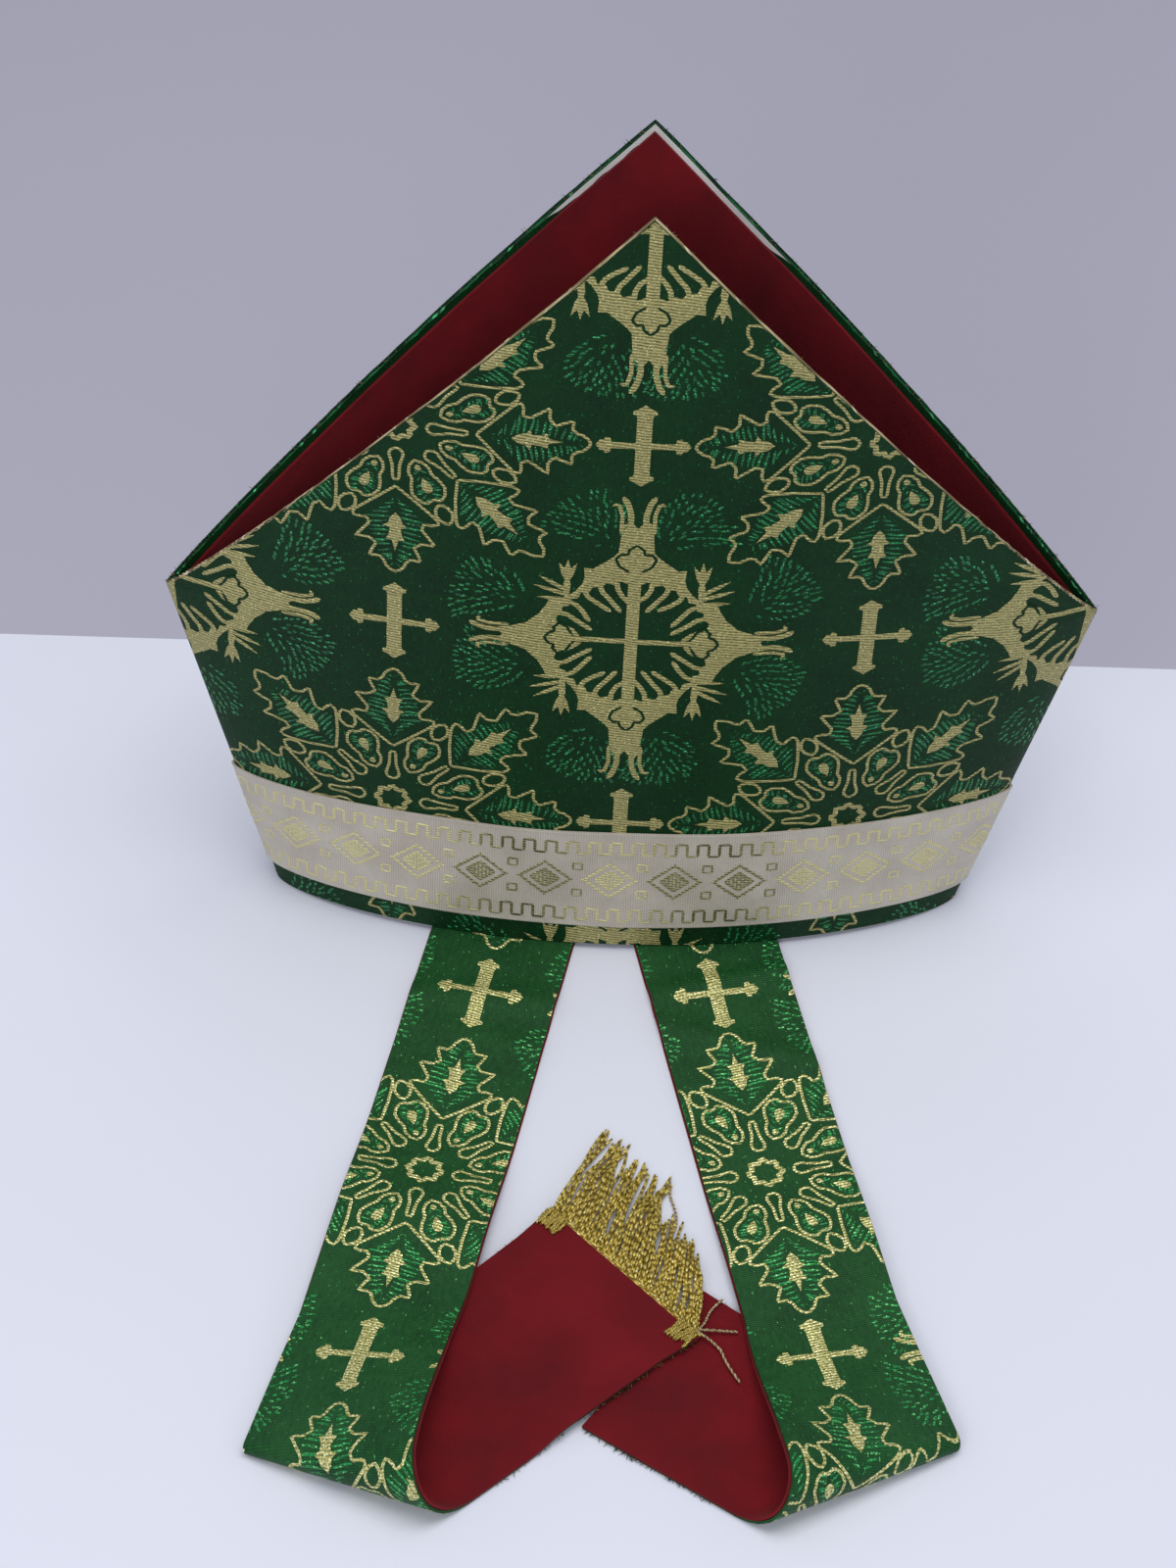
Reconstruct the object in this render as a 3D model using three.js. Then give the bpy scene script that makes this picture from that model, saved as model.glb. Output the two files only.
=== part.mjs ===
// A bishop's mitre standing on its hem, with its two lappets lying on the surface in front of it.
// Millimetres, +Z up. The near panel faces -Y. The origin is on the flat bottom edge of the far panel's
// hem, halfway along it. Each piece of cloth is a closed wall between an outer and an inner skin.
import * as THREE from "three";
import { mergeVertices } from "three/addons/utils/BufferGeometryUtils.js";

// ---- Driving dimensions ----------------------------------------------------------------------
const baseHalfWidth = 132;
const cornerHalfWidth = 170;
const cornerHeight = 151;
const peakHeight = 343;
const halfDepth = { base: 34.5, corner: 29.5, peak: 27.5 };
// How full the plan curve is: 0.5 is an ellipse, 1 a parabola with sharp side corners.
const fullness = { base: 0.66, corner: 0.8 };
// The peaks lean back by this much over their height.
const peakLean = 6;
// The near hem rides up over the lappets.
const hemLift = 2.9;
const panelWall = { face: 2, side: 2.5 };
const liningWall = { face: 1, side: 1.2 };
const galloonWall = { face: 0.8, side: 1 };
const galloonBottom = 10.5;
const galloonTop = 60;
// The lining stops this far below the panel's cut edge, and this far above the hem.
const liningInset = 3;
const gap = 0.3;

const clothThickness = 1;
const lappetLength = 385;
const fringeThickness = 2;
// The fringe's underside clears the table by this much.
const clothLift = 0.15;

// Half width of a lappet along its length, from the hem to the fringe.
const lappetWidths = [
  { at: 0, half: 27.5 },
  { at: 90, half: 27.8 },
  { at: 200, half: 28 },
  { at: 265, half: 33.5 },
  { at: 385, half: 37 },
  { at: 401, half: 38.8 },
];

// One row for each lappet, in plan. hand is -1 on the left. heading is the angle that the lappet
// leaves the hem at, out from straight ahead. Its end is folded under round a cone: foldAngle is the
// direction of the fold, back from straight across, coneAngle the cone's half angle, and outerRadius
// and outerEdge say how tight the fold is at the outer edge and where that is. The upper layer comes
// down from the fold over settleRun, lies topRise above the table, and reaches it between fadeStart
// and fadeEnd from the fold.
const lappets = [
  {
    name: "left", hand: -1, root: [-42, -22], heading: 11.6, foldAngle: 12.5, coneAngle: 10.5,
    outerRadius: 3, outerEdge: [-118, -278], length: 414, widthLength: 398, overTable: 3.4, topRise: 6.8, settleRun: 85,
    fadeStart: 105, fadeEnd: 160,
  },
  {
    name: "right", hand: 1, root: [32.5, -22], heading: 12.3, foldAngle: 21, coneAngle: 8,
    outerRadius: 3, outerEdge: [113, -269], length: 368, widthLength: 368, overTable: 0, topRise: 3.6, settleRun: 70,
    fadeStart: 92, fadeEnd: 140,
  },
];

// Soft cross folds of the lappets just in front of the hem.
const crossFolds = {
  left: [{ at: 42, height: 1.8, width: 7, slant: 0.12 }, { at: 60, height: 0.8, width: 6, slant: -0.1 }],
  right: [{ at: 30, height: 1.6, width: 6, slant: -0.15 }, { at: 62, height: 1.2, width: 7, slant: 0.55 }],
};

// ---- Materials -------------------------------------------------------------------------------
const brocade = new THREE.MeshStandardMaterial({ color: 0x163e20, roughness: 0.55, metalness: 0.1 });
const crimson = new THREE.MeshStandardMaterial({ color: 0x6e141e, roughness: 0.7, metalness: 0 });
const ribbon = new THREE.MeshStandardMaterial({ color: 0xbbb5a7, roughness: 0.5, metalness: 0.2 });
const bullion = new THREE.MeshStandardMaterial({ color: 0xa89340, roughness: 0.4, metalness: 0.8 });

// ---- Small helpers ---------------------------------------------------------------------------
const mix = (a, b, t) => a + (b - a) * t;
const radians = (degrees) => (degrees * Math.PI) / 180;

function smooth(from, to, value) {
  const t = Math.min(1, Math.max(0, (value - from) / (to - from)));
  return t * t * (3 - 2 * t);
}

function readTable(rows, at) {
  const next = rows.findIndex((row) => row.at >= at);
  if (next === 0) return rows[0].half;
  if (next < 0) return rows[rows.length - 1].half;
  const before = rows[next - 1];
  const after = rows[next];
  return mix(before.half, after.half, (at - before.at) / (after.at - before.at));
}

// A closed solid between two grids of points, outer[row][column] and inner[row][column].
function wallBetween(outer, inner) {
  const rows = outer.length;
  const columns = outer[0].length;
  const points = [...outer.flat(), ...inner.flat()];
  const triangles = [];
  const quad = (a, b, c, d) => triangles.push([a, b, c], [a, c, d]);
  const out = (r, c) => r * columns + c;
  const inn = (r, c) => (rows + r) * columns + c;
  for (let r = 0; r + 1 < rows; r++) {
    for (let c = 0; c + 1 < columns; c++) {
      quad(out(r, c), out(r, c + 1), out(r + 1, c + 1), out(r + 1, c));
      quad(inn(r, c), inn(r + 1, c), inn(r + 1, c + 1), inn(r, c + 1));
    }
    quad(out(r, 0), out(r + 1, 0), inn(r + 1, 0), inn(r, 0));
    quad(out(r + 1, columns - 1), out(r, columns - 1), inn(r, columns - 1), inn(r + 1, columns - 1));
  }
  for (let c = 0; c + 1 < columns; c++) {
    quad(out(0, c + 1), out(0, c), inn(0, c), inn(0, c + 1));
    quad(out(rows - 1, c), out(rows - 1, c + 1), inn(rows - 1, c + 1), inn(rows - 1, c));
  }
  return closedGeometry(points, triangles);
}

// Merges shared points, drops the triangles that this flattens, and turns the faces outwards.
function closedGeometry(points, triangles) {
  const raw = new THREE.BufferGeometry();
  raw.setAttribute("position", new THREE.Float32BufferAttribute(points.flat(), 3));
  raw.setIndex(triangles.flat());
  const merged = mergeVertices(raw, 1e-3);
  const index = merged.getIndex().array;
  const place = merged.getAttribute("position");
  const corner = [new THREE.Vector3(), new THREE.Vector3(), new THREE.Vector3()];
  const kept = [];
  let volume = 0;
  for (let i = 0; i < index.length; i += 3) {
    const face = [index[i], index[i + 1], index[i + 2]];
    if (new Set(face).size < 3) continue;
    kept.push(face);
    face.forEach((vertex, k) => corner[k].fromBufferAttribute(place, vertex));
    volume += corner[0].dot(corner[1].clone().cross(corner[2]));
  }
  merged.setIndex(kept.map((face) => (volume < 0 ? [face[0], face[2], face[1]] : face)).flat());
  merged.computeVertexNormals();
  return merged;
}

function addPiece(group, name, geometry, material) {
  const mesh = new THREE.Mesh(geometry, material);
  mesh.name = name;
  group.add(mesh);
}

// ---- The two panels, their linings and the galloon -----------------------------------------------
// Height of a column's cut edge: straight from the peak down to the corner.
const cutHeight = (across) => mix(peakHeight, cornerHeight, Math.abs(across));

function halfWidthAt(height) {
  return mix(baseHalfWidth, cornerHalfWidth, Math.min(1, height / cornerHeight));
}

function halfDepthAt(height) {
  if (height < cornerHeight) return mix(halfDepth.base, halfDepth.corner, height / cornerHeight);
  return mix(halfDepth.corner, halfDepth.peak, (height - cornerHeight) / (peakHeight - cornerHeight));
}

// A point on a panel's skin. across runs from -1 to 1 between the side seams, and inset says how far
// inside the panel's outer skin it lies.
function panelPoint(far, across, height, inset) {
  const lower = Math.min(1, height / cornerHeight);
  const bulge = Math.pow(Math.max(0, 1 - across * across), mix(fullness.base, fullness.corner, lower));
  const depth = (halfDepthAt(height) - inset.face) * bulge + gap / 2;
  const lift = far ? 0 : hemLift * (1 - Math.pow(Math.abs(across), 6)) * (1 - lower);
  return [
    across * (halfWidthAt(height) - inset.side),
    (far ? depth : -depth) + (peakLean * height) / peakHeight,
    height + lift,
  ];
}

// Columns lie closer together towards the seams, where the plan curve turns tightly.
function columnsAcross(count) {
  return Array.from({ length: count + 1 }, (_, i) => Math.sin(radians(-90 + (180 * i) / count)));
}

// Heights of one column's points: even steps up to the corners, then even steps up to the cut edge.
function panelHeights(across, bottom, topInset) {
  const lowerSteps = 3;
  const upperSteps = 5;
  const waist = Math.min(cornerHeight, cutHeight(across) - topInset);
  const top = cutHeight(across) - topInset;
  const lower = Array.from({ length: lowerSteps }, (_, i) => mix(bottom, waist, i / lowerSteps));
  const upper = Array.from({ length: upperSteps + 1 }, (_, i) => mix(waist, top, i / upperSteps));
  return [...lower, ...upper];
}

function skin(far, columns, heightsOf, inset) {
  const strips = columns.map((across) => heightsOf(across).map((z) => panelPoint(far, across, z, inset)));
  return strips[0].map((_, row) => strips.map((strip) => strip[row]));
}

function panelGeometry(far) {
  const heights = (across) => panelHeights(across, 0, 0);
  const columns = columnsAcross(24);
  return wallBetween(
    skin(far, columns, heights, { face: 0, side: 0 }),
    skin(far, columns, heights, panelWall),
  );
}

function liningGeometry(far) {
  const outside = { face: panelWall.face + gap, side: panelWall.side + gap };
  const inside = { face: outside.face + liningWall.face, side: outside.side + liningWall.side };
  const heights = (across) => panelHeights(across, liningInset, liningInset);
  const columns = columnsAcross(24);
  return wallBetween(skin(far, columns, heights, outside), skin(far, columns, heights, inside));
}

function galloonGeometry(far) {
  const inside = { face: -gap, side: -gap };
  const outside = { face: inside.face - galloonWall.face, side: inside.side - galloonWall.side };
  const steps = 2;
  const heights = () => Array.from({ length: steps + 1 }, (_, i) => mix(galloonBottom, galloonTop, i / steps));
  const columns = columnsAcross(24);
  return wallBetween(skin(far, columns, heights, outside), skin(far, columns, heights, inside));
}

// ---- The lappets ---------------------------------------------------------------------------------
// The plan of one lappet: where its fold's cone has its tip, and the directions in and across the fold.
function foldPlan(row) {
  const fold = radians(row.foldAngle);
  const along = [-row.hand * Math.cos(fold), -Math.sin(fold)];
  const outward = [row.hand * Math.sin(fold), -Math.cos(fold)];
  const cone = radians(row.coneAngle);
  const reach = row.outerRadius / Math.sin(cone);
  // The loop's outermost line is a radius past the line above the cone's axis.
  const tip = [0, 1].map((k) => row.outerEdge[k] - along[k] * reach - outward[k] * row.outerRadius);
  return { along, outward, cone, tip, sector: Math.PI * Math.sin(cone) };
}

// Height of the cloth's middle where a single layer lies on the surface.
const restHeight = clothThickness + gap / 2;

// The right lappet's end passes under the left one's, which climbs over its near edge.
function nearEdgeOf(row) {
  const plan = foldPlan(row);
  const half = halfWidth(row, row.length);
  const end = lappetPoint(row, plan, row.length, -half);
  const before = lappetPoint(row, plan, row.length - 60, -half);
  const run = Math.hypot(before[0] - end[0], before[1] - end[1]);
  return { point: end, normal: [(before[1] - end[1]) / -run, (before[0] - end[0]) / run] };
}

const climb = { from: -22, to: -3 };

function lowerHeight(row, x, y) {
  if (row.overTable === 0) return restHeight;
  const { point, normal } = nearEdgeOf(lappets[1]);
  const past = (x - point[0]) * normal[0] + (y - point[1]) * normal[1];
  return restHeight + row.overTable * smooth(climb.from, climb.to, past);
}

function upperHeight(row, plan, alongFold, fromFold, at, across) {
  const loop = alongFold * Math.sin(2 * plan.cone);
  const settled = row.topRise * (1 - smooth(row.fadeStart, row.fadeEnd, fromFold));
  const raised = mix(loop, settled, smooth(0, row.settleRun, fromFold));
  const ripple = crossFolds[row.name].reduce((sum, fold) => {
    const off = (at - fold.at - fold.slant * across) / fold.width;
    return sum + fold.height * Math.exp(-off * off);
  }, 0);
  return restHeight + raised + ripple * smooth(22, 30, at);
}

// Plan directions of a lappet before its fold: along it, and across to its outer side.
function lappetAxes(row) {
  const heading = radians(row.heading);
  return {
    ahead: [row.hand * Math.sin(heading), -Math.cos(heading)],
    side: [row.hand * Math.cos(heading), Math.sin(heading)],
  };
}

const halfWidth = (row, at) => readTable(lappetWidths, at * (lappetLength / row.widthLength));

// The point of the lappet's middle surface that is at along its length and across to its outer side.
function lappetPoint(row, plan, at, across) {
  const { ahead, side } = lappetAxes(row);
  const flat = [0, 1].map((k) => row.root[k] + at * ahead[k] + across * side[k]);
  const from = [flat[0] - plan.tip[0], flat[1] - plan.tip[1]];
  const a = from[0] * plan.along[0] + from[1] * plan.along[1];
  const m = from[0] * plan.outward[0] + from[1] * plan.outward[1];
  if (m <= 0) {
    const shorten = mix(Math.cos(2 * plan.cone), 1, smooth(0, row.settleRun, -m));
    const x = plan.tip[0] + plan.along[0] * a * shorten + plan.outward[0] * m;
    const y = plan.tip[1] + plan.along[1] * a * shorten + plan.outward[1] * m;
    return [x, y, upperHeight(row, plan, a, -m, at, across)];
  }
  const reach = Math.hypot(a, m);
  const turned = Math.atan2(m, a);
  if (turned < plan.sector) return conePoint(plan, reach, turned / Math.sin(plan.cone));
  const back = turned - plan.sector;
  const inward = Math.cos(back) * reach;
  const under = -Math.sin(back) * reach;
  const x = plan.tip[0] + plan.along[0] * inward + plan.outward[0] * under;
  const y = plan.tip[1] + plan.along[1] * inward + plan.outward[1] * under;
  return [x, y, lowerHeight(row, x, y)];
}

// Round the fold: turn runs from 0 on top to half a turn underneath.
function conePoint(plan, reach, turn) {
  const s = Math.sin(plan.cone);
  const c = Math.cos(plan.cone);
  const inLine = c * c - s * s * Math.cos(turn);
  const sideways = s * Math.sin(turn);
  return [
    plan.tip[0] + reach * (plan.along[0] * inLine + plan.outward[0] * sideways),
    plan.tip[1] + reach * (plan.along[1] * inLine + plan.outward[1] * sideways),
    restHeight + reach * s * c * (1 + Math.cos(turn)),
  ];
}

// How far along the lappet the fold's line at an angle turned from its start crosses a line at share of
// the half width.
function crossingAt(row, plan, turned, share) {
  const { ahead, side } = lappetAxes(row);
  const normal = [0, 1].map((k) => plan.outward[k] * Math.cos(turned) - plan.along[k] * Math.sin(turned));
  const dot = (v) => v[0] * normal[0] + v[1] * normal[1];
  let at = 0;
  // The width depends on where the line crosses, so this settles in a few rounds.
  for (let round = 0; round < 4; round++) {
    const across = share * halfWidth(row, at);
    at = -dot([0, 1].map((k) => row.root[k] + across * side[k] - plan.tip[k])) / dot(ahead);
  }
  return at;
}

// The rows of a lappet's grid. They turn from square at the hem to lie along the fold, run round it, and
// turn square again at the fringe. Each row gives its distance along for a share of the half width.
function rowsAlong(row, plan) {
  const flatSteps = 26;
  const foldSteps = 10;
  const endSteps = 8;
  const rows = [];
  for (let i = 0; i < flatSteps; i++) {
    rows.push((share) => mix(0, crossingAt(row, plan, 0, share), i / flatSteps));
  }
  for (let i = 0; i < foldSteps; i++) {
    rows.push((share) => crossingAt(row, plan, (plan.sector * i) / foldSteps, share));
  }
  for (let i = 0; i <= endSteps; i++) {
    rows.push((share) => mix(crossingAt(row, plan, plan.sector, share), row.length, i / endSteps));
  }
  return rows;
}

// Points on the cloth's middle surface moved off it along its normal, towards the brocade side.
function lappetSkin(row, plan, offset) {
  const acrossSteps = 5;
  const step = 0.05;
  return rowsAlong(row, plan).map((atShare) =>
    Array.from({ length: acrossSteps + 1 }, (_, i) => {
      const share = mix(-1, 1, i / acrossSteps);
      const at = atShare(share);
      const across = share * halfWidth(row, at);
      const point = (u, v) => new THREE.Vector3(...lappetPoint(row, plan, at + u, across + v));
      const along = point(step, 0).sub(point(-step, 0));
      const sideways = point(0, step).sub(point(0, -step));
      const normal = along.cross(sideways).normalize().multiplyScalar(row.hand);
      return point(0, 0).addScaledVector(normal, offset).toArray();
    }));
}

// The fringe hangs from the lappet's end and lies on from it. reach is the plan run of its strands at
// the inner edge, the middle and the outer edge. The left one lies on the right lappet's end at first,
// and drops to the table from dropFrom on, a share of the strands' length at the inner and outer edge.
const fringes = {
  left: { reach: [[5, 34], [12, 46], [21, 50]], over: 3, dropFrom: [0.72, 0.4] },
  right: { reach: [[-36, 30], [-40, 18], [-42, 0]], over: 0, dropFrom: [0, 0] },
};

function fringeSkin(row, plan, offset) {
  const strandSteps = 5;
  const acrossSteps = 8;
  const half = halfWidth(row, row.length) - 1;
  const { reach, over, dropFrom } = fringes[row.name];
  const low = clothLift + fringeThickness / 2;
  return Array.from({ length: strandSteps + 1 }, (_, r) => {
    const t = r / strandSteps;
    return Array.from({ length: acrossSteps + 1 }, (_, i) => {
      const share = i / acrossSteps;
      const across = mix(-half, half, share);
      const start = lappetPoint(row, plan, row.length + gap + 0.2, across);
      const near = share < 0.5 ? reach[0] : reach[1];
      const next = share < 0.5 ? reach[1] : reach[2];
      const blend = share < 0.5 ? share * 2 : share * 2 - 1;
      const x = start[0] + mix(near[0], next[0], blend) * t;
      const y = start[1] + mix(near[1], next[1], blend) * t;
      const drop = mix(dropFrom[0], dropFrom[1], share);
      const rest = low + over * (1 - smooth(drop, drop + 0.28, t));
      return [x, y, mix(start[2], rest, smooth(0, 0.3, t)) + offset];
    });
  });
}

// ---- Assembly --------------------------------------------------------------------------------
const mitre = new THREE.Group();

const cap = new THREE.Group();
// Puts the middle of the far hem's bottom edge at the origin.
const hemMiddle = halfDepth.base + gap / 2 - panelWall.face / 2;
cap.position.y = -hemMiddle;
for (const far of [false, true]) {
  const side = far ? "far" : "near";
  addPiece(cap, `panel_${side}`, panelGeometry(far), brocade);
  addPiece(cap, `lining_${side}`, liningGeometry(far), crimson);
  addPiece(cap, `galloon_${side}`, galloonGeometry(far), ribbon);
}
mitre.add(cap);

for (const row of lappets) {
  const plan = foldPlan(row);
  const lie = new THREE.Group();
  lie.position.y = -hemMiddle;
  const face = gap / 2;
  addPiece(lie, `lappet_${row.name}`,
    wallBetween(lappetSkin(row, plan, face + clothThickness), lappetSkin(row, plan, face)), brocade);
  addPiece(lie, `lappet_lining_${row.name}`,
    wallBetween(lappetSkin(row, plan, -face), lappetSkin(row, plan, -face - clothThickness)), crimson);
  addPiece(lie, `fringe_${row.name}`,
    wallBetween(fringeSkin(row, plan, fringeThickness / 2), fringeSkin(row, plan, -fringeThickness / 2)),
    bullion);
  mitre.add(lie);
}

export default mitre;
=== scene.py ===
import math

import bpy
import numpy as np
from mathutils import Matrix, Vector


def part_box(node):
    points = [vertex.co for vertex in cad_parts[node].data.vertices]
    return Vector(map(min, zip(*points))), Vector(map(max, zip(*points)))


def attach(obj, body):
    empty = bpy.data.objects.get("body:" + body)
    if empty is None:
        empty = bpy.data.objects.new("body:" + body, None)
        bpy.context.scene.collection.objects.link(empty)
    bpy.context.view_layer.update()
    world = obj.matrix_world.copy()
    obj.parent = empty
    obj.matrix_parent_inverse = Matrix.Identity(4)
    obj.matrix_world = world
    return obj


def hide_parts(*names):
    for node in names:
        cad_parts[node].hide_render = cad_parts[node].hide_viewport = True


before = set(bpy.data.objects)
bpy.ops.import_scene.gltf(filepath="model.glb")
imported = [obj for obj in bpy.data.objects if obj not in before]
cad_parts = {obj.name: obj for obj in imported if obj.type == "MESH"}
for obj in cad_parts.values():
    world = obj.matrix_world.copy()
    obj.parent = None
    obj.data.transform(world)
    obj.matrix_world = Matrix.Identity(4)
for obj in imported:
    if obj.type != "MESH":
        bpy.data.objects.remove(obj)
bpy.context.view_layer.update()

MM = 0.001

# ---- Sizes that the cloth shares with the frame
panel_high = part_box("panel_far")[1]
galloon_low, galloon_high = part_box("galloon_far")
PEAK_HEIGHT = panel_high.z
CORNER_HALF_WIDTH = panel_high.x
GALLOON_BOTTOM = galloon_low.z
GALLOON_TOP = galloon_high.z
BASE_HALF_WIDTH = 132 * MM
CORNER_HEIGHT = 151 * MM
HALF_DEPTH = (34.5 * MM, 29.5 * MM, 27.5 * MM)
FULLNESS = (0.66, 0.8)
PEAK_LEAN = 6 * MM
HEM_LIFT = 2.9 * MM
PANEL_WALL = (2 * MM, 2.5 * MM)
LINING_WALL = (1 * MM, 1.2 * MM)
GALLOON_WALL = (0.8 * MM, 1 * MM)
LINING_INSET = 3 * MM
GAP = 0.3 * MM
CLOTH = 1 * MM
FRINGE_THICKNESS = 2 * MM
CLOTH_LIFT = 0.15 * MM
REST_HEIGHT = CLOTH + GAP / 2
HEM_MIDDLE = HALF_DEPTH[0] + GAP / 2 - PANEL_WALL[0] / 2

# Half width of a lappet at distances from the hem, where its width_length is LAPPET_LENGTH.
LAPPET_LENGTH = 385 * MM
WIDTH_AT = np.array([0, 90, 200, 265, 385, 401]) * MM
WIDTH_HALF = np.array([27.5, 27.8, 28, 33.5, 37, 38.8]) * MM

# One row for each lappet, in millimetres and degrees. hand is -1 on the left. heading is the way it
# leaves the hem, fold_angle and cone_angle say how its end folds under, and outer_edge where. reach is
# the run of the fringe at three places across, and strands its count, steps along and sides.
LEFT = dict(
    name="left", hand=-1, root=(-42, -22), heading=11.6, fold_angle=12.5, cone_angle=10.5,
    outer_radius=3, outer_edge=(-118, -278), length=414, width_length=398, over=3.4, top_rise=6.8, settle=85,
    fade=(105, 160), ripples=((42, 1.8, 7, 0.12), (60, 0.8, 6, -0.1)),
    reach=((5, 34), (12, 46), (21, 50)), fringe_over=3, drop=(0.72, 0.4),
    strands=(92, 60, 8), strand_inset=0,
)
RIGHT = dict(
    name="right", hand=1, root=(32.5, -22), heading=12.3, fold_angle=21, cone_angle=8,
    outer_radius=3, outer_edge=(113, -269), length=368, width_length=368, over=0, top_rise=3.6, settle=70,
    fade=(92, 140), ripples=((30, 1.6, 6, -0.15), (62, 1.2, 7, 0.55)),
    reach=((-36, 30), (-40, 18), (-42, 0)), fringe_over=0, drop=(0, 0),
    strands=(34, 40, 6), strand_inset=0.15,
)


# ---- Small helpers
def mix(a, b, t):
    return a + (b - a) * t


def smooth(start, end, value):
    t = np.clip((value - start) / (end - start), 0, 1)
    return t * t * (3 - 2 * t)


def unit(v):
    return v / np.maximum(np.linalg.norm(v, axis=-1, keepdims=True), 1e-12)


def arc_lengths(points):
    """The distance along a line of points, from its first one; also for each row of a grid."""
    steps = np.linalg.norm(np.diff(points, axis=-2), axis=-1)
    return np.concatenate([np.zeros((*steps.shape[:-1], 1)), np.cumsum(steps, axis=-1)], axis=-1)


def raised(plan, height):
    """Points in plan, each at its height."""
    return np.concatenate([plan, height[..., None]], axis=-1)


def side_of(far):
    return "far" if far else "near"


def in_frame(piece, node=None):
    """Gives a piece its body, and hides the node of the frame that it stands for."""
    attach(piece, "root")
    if node:
        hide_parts(node)
    return piece


def colour(red, green, blue):
    """A colour given as 0 to 255 on screen, as the shader's linear numbers."""
    parts = [c / 255 for c in (red, green, blue)]
    linear = [c / 12.92 if c < 0.04045 else ((c + 0.055) / 1.055) ** 2.4 for c in parts]
    return (*linear, 1.0)


# ---- Camera
def add_camera():
    place = Vector((-40.7, -1190.55, 1237.5)) * MM
    pitch, yaw, roll = (math.radians(a) for a in (45.622, 1.371, 2.695))
    ahead = Vector((math.sin(yaw) * math.cos(pitch), math.cos(yaw) * math.cos(pitch), -math.sin(pitch)))
    level = Vector((math.cos(yaw), -math.sin(yaw), 0))
    above = level.cross(ahead)
    right = level * math.cos(roll) + above * math.sin(roll)
    up = above * math.cos(roll) - level * math.sin(roll)
    data = bpy.data.cameras.new("view")
    data.sensor_fit = "VERTICAL"
    data.sensor_height = 32
    data.lens = 88.806
    camera = bpy.data.objects.new("view", data)
    turn = Matrix((right, up, -ahead)).transposed().to_4x4()
    camera.matrix_world = Matrix.Translation(place) @ turn
    bpy.context.scene.collection.objects.link(camera)
    bpy.context.scene.camera = camera


# ---- Meshes
def add_mesh(name, points, faces, materials, flat=None, shade=None, kinds=None, sharp=50):
    """A smooth mesh object. flat is each point's place in the cloth, kept as its UV. shade is a
    number for each point that the material may read, and kinds the material of each face."""
    mesh = bpy.data.meshes.new(name)
    mesh.from_pydata(np.asarray(points).tolist(), [], [tuple(f) for f in faces])
    for material in materials:
        mesh.materials.append(material)
    if kinds is not None:
        mesh.polygons.foreach_set("material_index", np.asarray(kinds, dtype=np.int32))
    corner = np.empty(len(mesh.loops), dtype=np.int32)
    mesh.loops.foreach_get("vertex_index", corner)
    layer = mesh.uv_layers.new(name="cloth")
    spots = np.zeros((len(points), 2)) if flat is None else np.asarray(flat)
    layer.data.foreach_set("uv", spots[corner].astype(np.float32).ravel())
    if shade is not None:
        mesh.attributes.new("shade", "FLOAT", "POINT").data.foreach_set(
            "value", np.asarray(shade, dtype=np.float32))
    mesh.shade_smooth()
    mesh.set_sharp_from_angle(angle=math.radians(sharp))
    mesh.validate()
    mesh.update()
    piece = bpy.data.objects.new(name, mesh)
    bpy.context.scene.collection.objects.link(piece)
    return piece


def grid_faces(rows, columns, first=0, flip=False):
    r, c = np.meshgrid(np.arange(rows - 1), np.arange(columns - 1), indexing="ij")
    a = (first + r * columns + c).ravel()
    quads = np.stack([a, a + 1, a + columns + 1, a + columns], axis=1)
    return quads[:, ::-1] if flip else quads


def shell(name, outer, inner, flat, material, flip=False):
    """Closed cloth between two grids of points, with its rim."""
    rows, columns = outer.shape[:2]
    count = rows * columns
    number = np.arange(count).reshape(rows, columns)
    ring = np.concatenate([number[0, :], number[1:, -1], number[-1, -2::-1], number[-2:0:-1, 0]])
    after = np.roll(ring, -1)
    rim = np.stack([ring, ring + count, after + count, after], axis=1)
    if flip:
        rim = rim[:, ::-1]
    faces = np.concatenate([
        grid_faces(rows, columns, 0, flip), grid_faces(rows, columns, count, not flip), rim])
    points = np.concatenate([outer.reshape(-1, 3), inner.reshape(-1, 3)])
    spots = np.concatenate([flat.reshape(-1, 2), flat.reshape(-1, 2)])
    return add_mesh(name, points, faces, [material], spots)


def tube(line, radii, sides=6, lobes=0, twist=0.0):
    """Points and faces of a closed round thread along a line. lobes and twist make it a twisted one:
    the radius swells lobes times round, and turns by twist for each metre."""
    line = np.asarray(line)
    ahead = unit(np.gradient(line, axis=0))
    side = np.empty_like(ahead)
    start = np.cross(ahead[0], (0.31, 0.22, 0.92))
    for i, direction in enumerate(ahead):
        start = unit(start - direction * np.dot(start, direction))
        side[i] = start
    other = np.cross(ahead, side)
    run = arc_lengths(line)
    angle = np.linspace(0, 2 * math.pi, sides, endpoint=False)[None, :]
    swell = 1 + (0.32 * np.cos(lobes * angle - twist * run[:, None]) if lobes else 0)
    radius = np.broadcast_to(radii, run.shape)[:, None] * swell
    around = (side[:, None] * np.cos(angle)[..., None] + other[:, None] * np.sin(angle)[..., None])
    points = (line[:, None] + around * radius[..., None]).reshape(-1, 3)
    faces = []
    for i in range(len(line) - 1):
        for k in range(sides):
            a, b = i * sides + k, i * sides + (k + 1) % sides
            faces.append((a, b, b + sides, a + sides))
    last = (len(line) - 1) * sides
    faces.append(tuple(range(sides - 1, -1, -1)))
    faces.append(tuple(range(last, last + sides)))
    return points, faces


PLIES = 2


def cord(line, radius, twist, kind=0, sides=6):
    """A two-ply twisted thread along a line, as threads takes it."""
    return (*tube(line, radius, sides, PLIES, twist), kind)


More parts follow.
